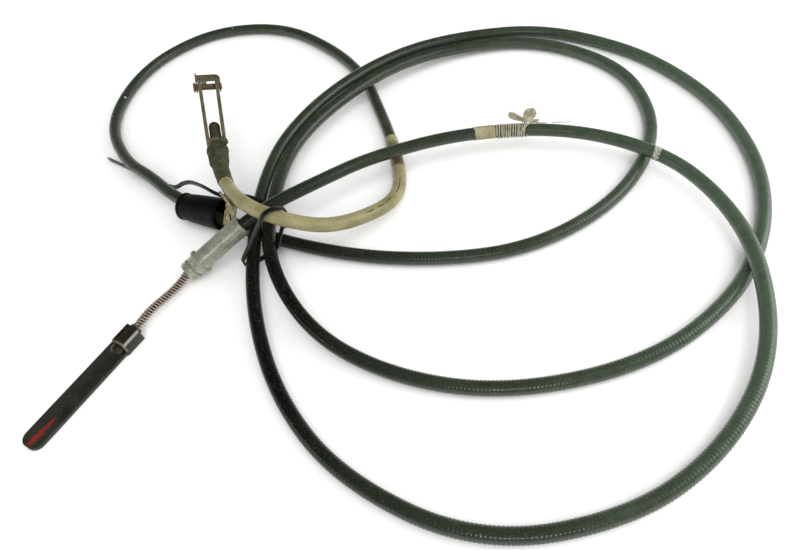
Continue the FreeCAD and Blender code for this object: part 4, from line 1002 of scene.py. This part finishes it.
# Zones of the folded channel, from the nipple: forward, upward and sideways, in metres
FOLD_FROM = (1.2 * MM, 2.4 * MM)
FOLD_FLOOR = (-4.6 * MM, -3.8 * MM)
LIP_RUN = (4.2 * MM, 3.2 * MM)
HIGHLIGHT_HEIGHT = (1.2 * MM, 3.9 * MM)
HIGHLIGHT_SIDE = (-4.0 * MM, -4.6 * MM)
HIGHLIGHT_RUN = (3 * MM, 16.6 * MM)


def lever_paint():
    made, tree, shader = new_material("painted_steel_dark_red_streak")
    where = object_place(tree)
    blotch = spots(tree, where, 13, 0.36, 0.66)
    base = mixed(tree, blotch, linear("#1c1d15"), linear("#28291e"))
    tint = mixed(tree, spots(tree, where, 22, 0.45, 0.7), base, linear("#1f2c22"))
    scuff = spots(tree, where, 1.3, 0.62, 0.74, detail=6.0)
    scuffed = mixed(tree, times(tree, scuff, 0.5), tint, linear("#5f5f4e"))
    local = add(tree, "ShaderNodeVectorMath", {"Vector": where}, operation="SUBTRACT")
    local.inputs[1].default_value = NIPPLE * MM
    local = local.outputs[0]
    forward = dotted(tree, local, LEVER_WAY)
    sideways = dotted(tree, local, Vector((0, 0, 1)).cross(LEVER_WAY))
    upward = add(tree, "ShaderNodeSeparateXYZ", {"Vector": local}).outputs[2]
    low, high = STREAK_FROM[0] * MM, STREAK_TO[0] * MM
    middle = ranged(tree, forward, low, high, STREAK_FROM[1] * MM, STREAK_TO[1] * MM)
    width = ranged(tree, forward, low, high, STREAK_WIDTHS[0] * MM, STREAK_WIDTHS[1] * MM)
    away = maths(tree, "ABSOLUTE", maths(tree, "SUBTRACT", sideways, middle))
    away = maths(tree, "DIVIDE", away, width)
    ragged = ranged(tree, noise(tree, where, 420.0, 5.0), 0.3, 0.7, -STREAK_RAGGED, STREAK_RAGGED)
    away = maths(tree, "ADD", away, ragged)
    streak = times(tree, ranged(tree, away, 1.0, 0.6), band(tree, forward, low, high, 3 * MM))
    colour = mixed(tree, streak, scuffed, linear("#7c1712"))
    # The folded channel: brown black, a painted highlight strip along its outer wall, its lower lip cream
    # with old paint
    fold = times(tree, ranged(tree, forward, *FOLD_FROM), ranged(tree, upward, *FOLD_FLOOR))
    colour = mixed(tree, times(tree, fold, 0.9), colour, linear("#21180e"))
    lip = times(tree, fold, ranged(tree, forward, *LIP_RUN))
    lip = times(tree, lip, ranged(tree, blotch, 0, 1, 0.7, 0.25))
    colour = mixed(tree, lip, colour, linear("#7d765c"))
    # Painted highlight: a pale grey-blue strip on the channel's outer wall
    wall = times(tree, band(tree, upward, *HIGHLIGHT_HEIGHT, 0.8 * MM), ranged(tree, sideways, *HIGHLIGHT_SIDE))
    painted_highlight_strip = times(tree, wall, band(tree, forward, *HIGHLIGHT_RUN, 1.5 * MM))
    colour = mixed(tree, times(tree, painted_highlight_strip, 0.85), colour, linear("#8f968e"))
    rough = ranged(tree, blotch, 0, 1, 0.36, 0.54)
    surface(tree, shader, colour, rough, height=noise(tree, where, 900.0, 5.0), depth_mm=0.09, specular=0.4)
    return made


STRING_LAY_MM = 1.6


# Twisted cotton string: pale and grubby, its lay drawn by painted shade in the grooves between the strands
def cotton(painted_back_shade=False):
    made, tree, shader = new_material("twisted_cotton_string_grubby")
    lay = add(tree, "ShaderNodeUVMap", uv_map="lay")
    split = add(tree, "ShaderNodeSeparateXYZ", {"Vector": lay.outputs[0]})
    turns = maths(tree, "ADD", times(tree, split.outputs[1], 1000 / STRING_LAY_MM), split.outputs[0])
    ply = maths(tree, "ABSOLUTE", maths(tree, "SINE", times(tree, turns, math.pi * 2)))
    where = object_place(tree)
    grub = spots(tree, where, 3.5, 0.4, 0.68)
    base = mixed(tree, grub, linear("#bab49c"), linear("#8c8365"))
    # Painted shade: the grooves between the strands darkened
    colour = mixed(tree, ranged(tree, ply, 0.0, 0.45), linear("#5c553c"), base)
    # Painted shade with some dirt: darker where the string faces back and up
    if painted_back_shade:
        colour = mixed(tree, times(tree, back_facing_shade(tree), BACK_SHADE_SHARE), colour, linear("#5a5334"))
    surface(tree, shader, colour, 0.85, 0.0, ply, 0.18, specular=0.2)
    shader.inputs["Sheen Weight"].default_value = 0.3
    return made


FINISHES = {
    jacket: vinyl(),
    sleeve: tan_vinyl(),
    armour: patchy(
        "flat_wire_steel_oiled", "#6f6d67", "#8a8780", "#4c4238",
        size_mm=4, third_share=0.2, rough_low=0.3, rough_high=0.5, metallic=0.9,
    ),
    liner: patchy(
        "nylon_natural", "#cdc9b8", "#bdb8a2", "#a19a80",
        size_mm=9, third_share=0.1, rough_low=0.4, rough_high=0.5,
    ),
    pull_wire: patchy(
        "steel_strand_greased", "#57524b", "#3f3a34", "#2c2620",
        size_mm=2, third_share=0.3, rough_low=0.35, rough_high=0.55, metallic=0.8,
    ),
    exposed: patchy(
        "steel_strand_greased_open", "#33241b", "#291c14", "#20140d",
        size_mm=2, third_share=0.4, rough_low=0.35, rough_high=0.55, metallic=0.4,
    ),
    wrap: patchy(
        "cloth_tape_olive_greasy", "#44462d", "#353720", "#262617",
        size_mm=5, third_share=0.4, rough_low=0.5, rough_high=0.7, grain_mm=0.7, depth_mm=0.15,
        specular=0.3,
    ),
    label: patchy(
        "paper_label_soiled", "#9f977c", "#8c8364", "#6f6748",
        size_mm=5, third_share=0.25, rough_low=0.75, rough_high=0.9, grain_mm=0.5, depth_mm=0.05,
        specular=0.2, painted_back_shade="#5f5838",
    ),
    marker: patchy(
        "white_tape_scuffed", "#b9b8ad", "#8b8c80", "#4a5046",
        size_mm=2, third_share=0.7, rough_low=0.5, rough_high=0.65, specular=0.3, third_size_mm=1.6,
    ),
    string_coils: cotton(painted_back_shade=True),
    bow: cotton(),
    ferrule: patchy(
        "zinc_casting_dulled", "#a0a594", "#858a7a", "#625f4c",
        size_mm=5, third_share=0.15, rough_low=0.2, rough_high=0.38, metallic=0.45, grain_mm=0.9,
        depth_mm=0.10,
    ),
    bush: patchy(
        "acetal_bush_dark", "#3d3c38", "#2f2e2b", "#23221f",
        size_mm=4, third_share=0.2, rough_low=0.4, rough_high=0.5,
    ),
    nipple: patchy(
        "steel_nipple_brown", "#2a251a", "#1f1b12", "#171108",
        size_mm=3, third_share=0.5, rough_low=0.3, rough_high=0.5, specular=0.3,
    ),
    lever: lever_paint(),
    washer: patchy(
        "plated_steel_washer", "#8d897c", "#706b5f", "#4a3a2a",
        size_mm=3, third_share=0.3, rough_low=0.35, rough_high=0.5, metallic=0.8,
    ),
    barrel_washer: patchy(
        "plated_steel_washer_yoke", "#8d897c", "#706b5f", "#4a3a2a",
        size_mm=3, third_share=0.3, rough_low=0.35, rough_high=0.5, metallic=0.8,
    ),
    cap: patchy(
        "steel_cap_grimy", "#4b4a36", "#37372a", "#2a271c",
        size_mm=4, third_share=0.3, rough_low=0.45, rough_high=0.6, metallic=0.3,
    ),
    rod: patchy(
        "steel_rod_greased", "#67624f", "#4c4739", "#3d2d1c",
        size_mm=3, third_share=0.4, rough_low=0.35, rough_high=0.55, metallic=0.8,
    ),
    barrel: patchy(
        "turned_steel_barrel_greasy", "#4d4c3c", "#3a3a2c", "#4a3018",
        size_mm=4, third_share=0.35, rough_low=0.18, rough_high=0.35, metallic=0.4,
    ),
    yoke: patchy(
        "yellow_zinc_strap_rusting", "#6f6750", "#585039", "#54391d",
        size_mm=6, third_share=0.6, rough_low=0.35, rough_high=0.55, metallic=0.25, grain_mm=0.5,
        depth_mm=0.05,
    ),
    pin: patchy(
        "turned_steel_pin_rusting", "#6a5d44", "#55472f", "#523519",
        size_mm=3, third_share=0.7, rough_low=0.35, rough_high=0.55, metallic=0.3,
    ),
    clip: patchy(
        "spring_steel_strip_rusting", "#6c6751", "#54513b", "#533a1e",
        size_mm=3, third_share=0.5, rough_low=0.35, rough_high=0.55, metallic=0.25,
    ),
    tie: patchy(
        "moulded_nylon_black", "#0f100e", "#151613", "#2c2d27",
        size_mm=6, third_share=0.12, rough_low=0.22, rough_high=0.36, specular=0.4,
    ),
    bracket: patchy(
        "enamelled_sheet_cream_rusting", "#a89c6e", "#7d7249", "#3f2c17",
        size_mm=4, third_share=0.7, rough_low=0.4, rough_high=0.6, third_size_mm=3.5,
    ),
    boot: patchy(
        "rubber_boot_perished_olive", "#41432d", "#323420", "#2c2116",
        size_mm=4, third_share=0.5, rough_low=0.5, rough_high=0.7, grain_mm=0.8, depth_mm=0.15,
        specular=0.35,
    ),
    gaiter: patchy(
        "moulded_rubber_black_dirty", "#080704", "#0f0d09", "#1c170e",
        size_mm=8, third_share=0.25, rough_low=0.4, rough_high=0.6, grain_mm=1.2, depth_mm=0.15,
        specular=0.12,
    ),
    spring: patchy(
        "spring_steel_brown", "#ab9c8e", "#8a7668", "#5a3d2e",
        size_mm=2, third_share=0.4, rough_low=0.35, rough_high=0.6, metallic=0.3, grain_mm=0.4,
        depth_mm=0.08,
    ),
}
for piece, material in FINISHES.items():
    piece.data.materials.clear()
    piece.data.materials.append(material)

# Table, backdrop and plain soft light
bpy.ops.mesh.primitive_plane_add(size=8, location=(0.15, 0, -0.0003))
table = bpy.context.object
table.name = "pale_table"
matt_white, tree, shader = new_material("matt_white_table")
surface(tree, shader, linear("#fdfdfc"), 0.9, specular=0.1)
table.data.materials.append(matt_white)

# The studio's light: even for diffuse rays, and for glossy rays bright low down and dim overhead
DIFFUSE_LEVEL = 0.68
GLOSSY_LOW = 0.80
GLOSSY_HIGH = 0.06
GLOSSY_RUN = (0.05, 0.45)
world = bpy.data.worlds.new("studio")
world.use_nodes = True
bpy.context.scene.world = world
tree = world.node_tree
tree.nodes.clear()
light_path = add(tree, "ShaderNodeLightPath")
toward = add(tree, "ShaderNodeTexCoord").outputs["Generated"]
toward_height = add(tree, "ShaderNodeSeparateXYZ", {"Vector": toward}).outputs[2]
glossy = ranged(tree, toward_height, *GLOSSY_RUN, GLOSSY_LOW, GLOSSY_HIGH)
diffuse = (DIFFUSE_LEVEL, DIFFUSE_LEVEL, DIFFUSE_LEVEL, 1)
soft = mixed(tree, light_path.outputs["Is Glossy Ray"], diffuse, glossy)
strength = mixed(tree, light_path.outputs["Is Camera Ray"], soft, (1, 1, 1, 1))
background = add(tree, "ShaderNodeBackground", {"Color": (1, 1, 1, 1), "Strength": strength})
add(tree, "ShaderNodeOutputWorld", {"Surface": background.outputs[0]})


def soft_light(name, place, target, size, power, mirrored=True):
    """A square lamp that faces its target; one that isn't mirrored shows in no reflection."""
    data = bpy.data.lights.new(name, "AREA")
    data.shape = "SQUARE"
    data.size = size
    data.energy = power
    made = bpy.data.objects.new(name, data)
    made.visible_glossy = mirrored
    bpy.context.scene.collection.objects.link(made)
    way = Vector(target) - Vector(place)
    made.matrix_world = Matrix.Translation(place) @ way.to_track_quat("-Z", "Y").to_matrix().to_4x4()


LAMP_TARGET = (0.17, 0, 0)
soft_light("top_softbox", (0.5, -0.6, 1.6), LAMP_TARGET, size=1.4, power=13, mirrored=False)
soft_light("side_softbox", (1.4, 0.1, 0.65), LAMP_TARGET, size=1.0, power=9)
soft_light("front_lamp", (0.30, -1.50, 1.15), (0.2, 0, 0), size=0.26, power=4.5)
soft_light("left_lamp", (-1.5, -0.6, 0.48), (0.15, 0, 0), size=0.15, power=2.2)
bpy.context.scene.view_settings.view_transform = "Standard"
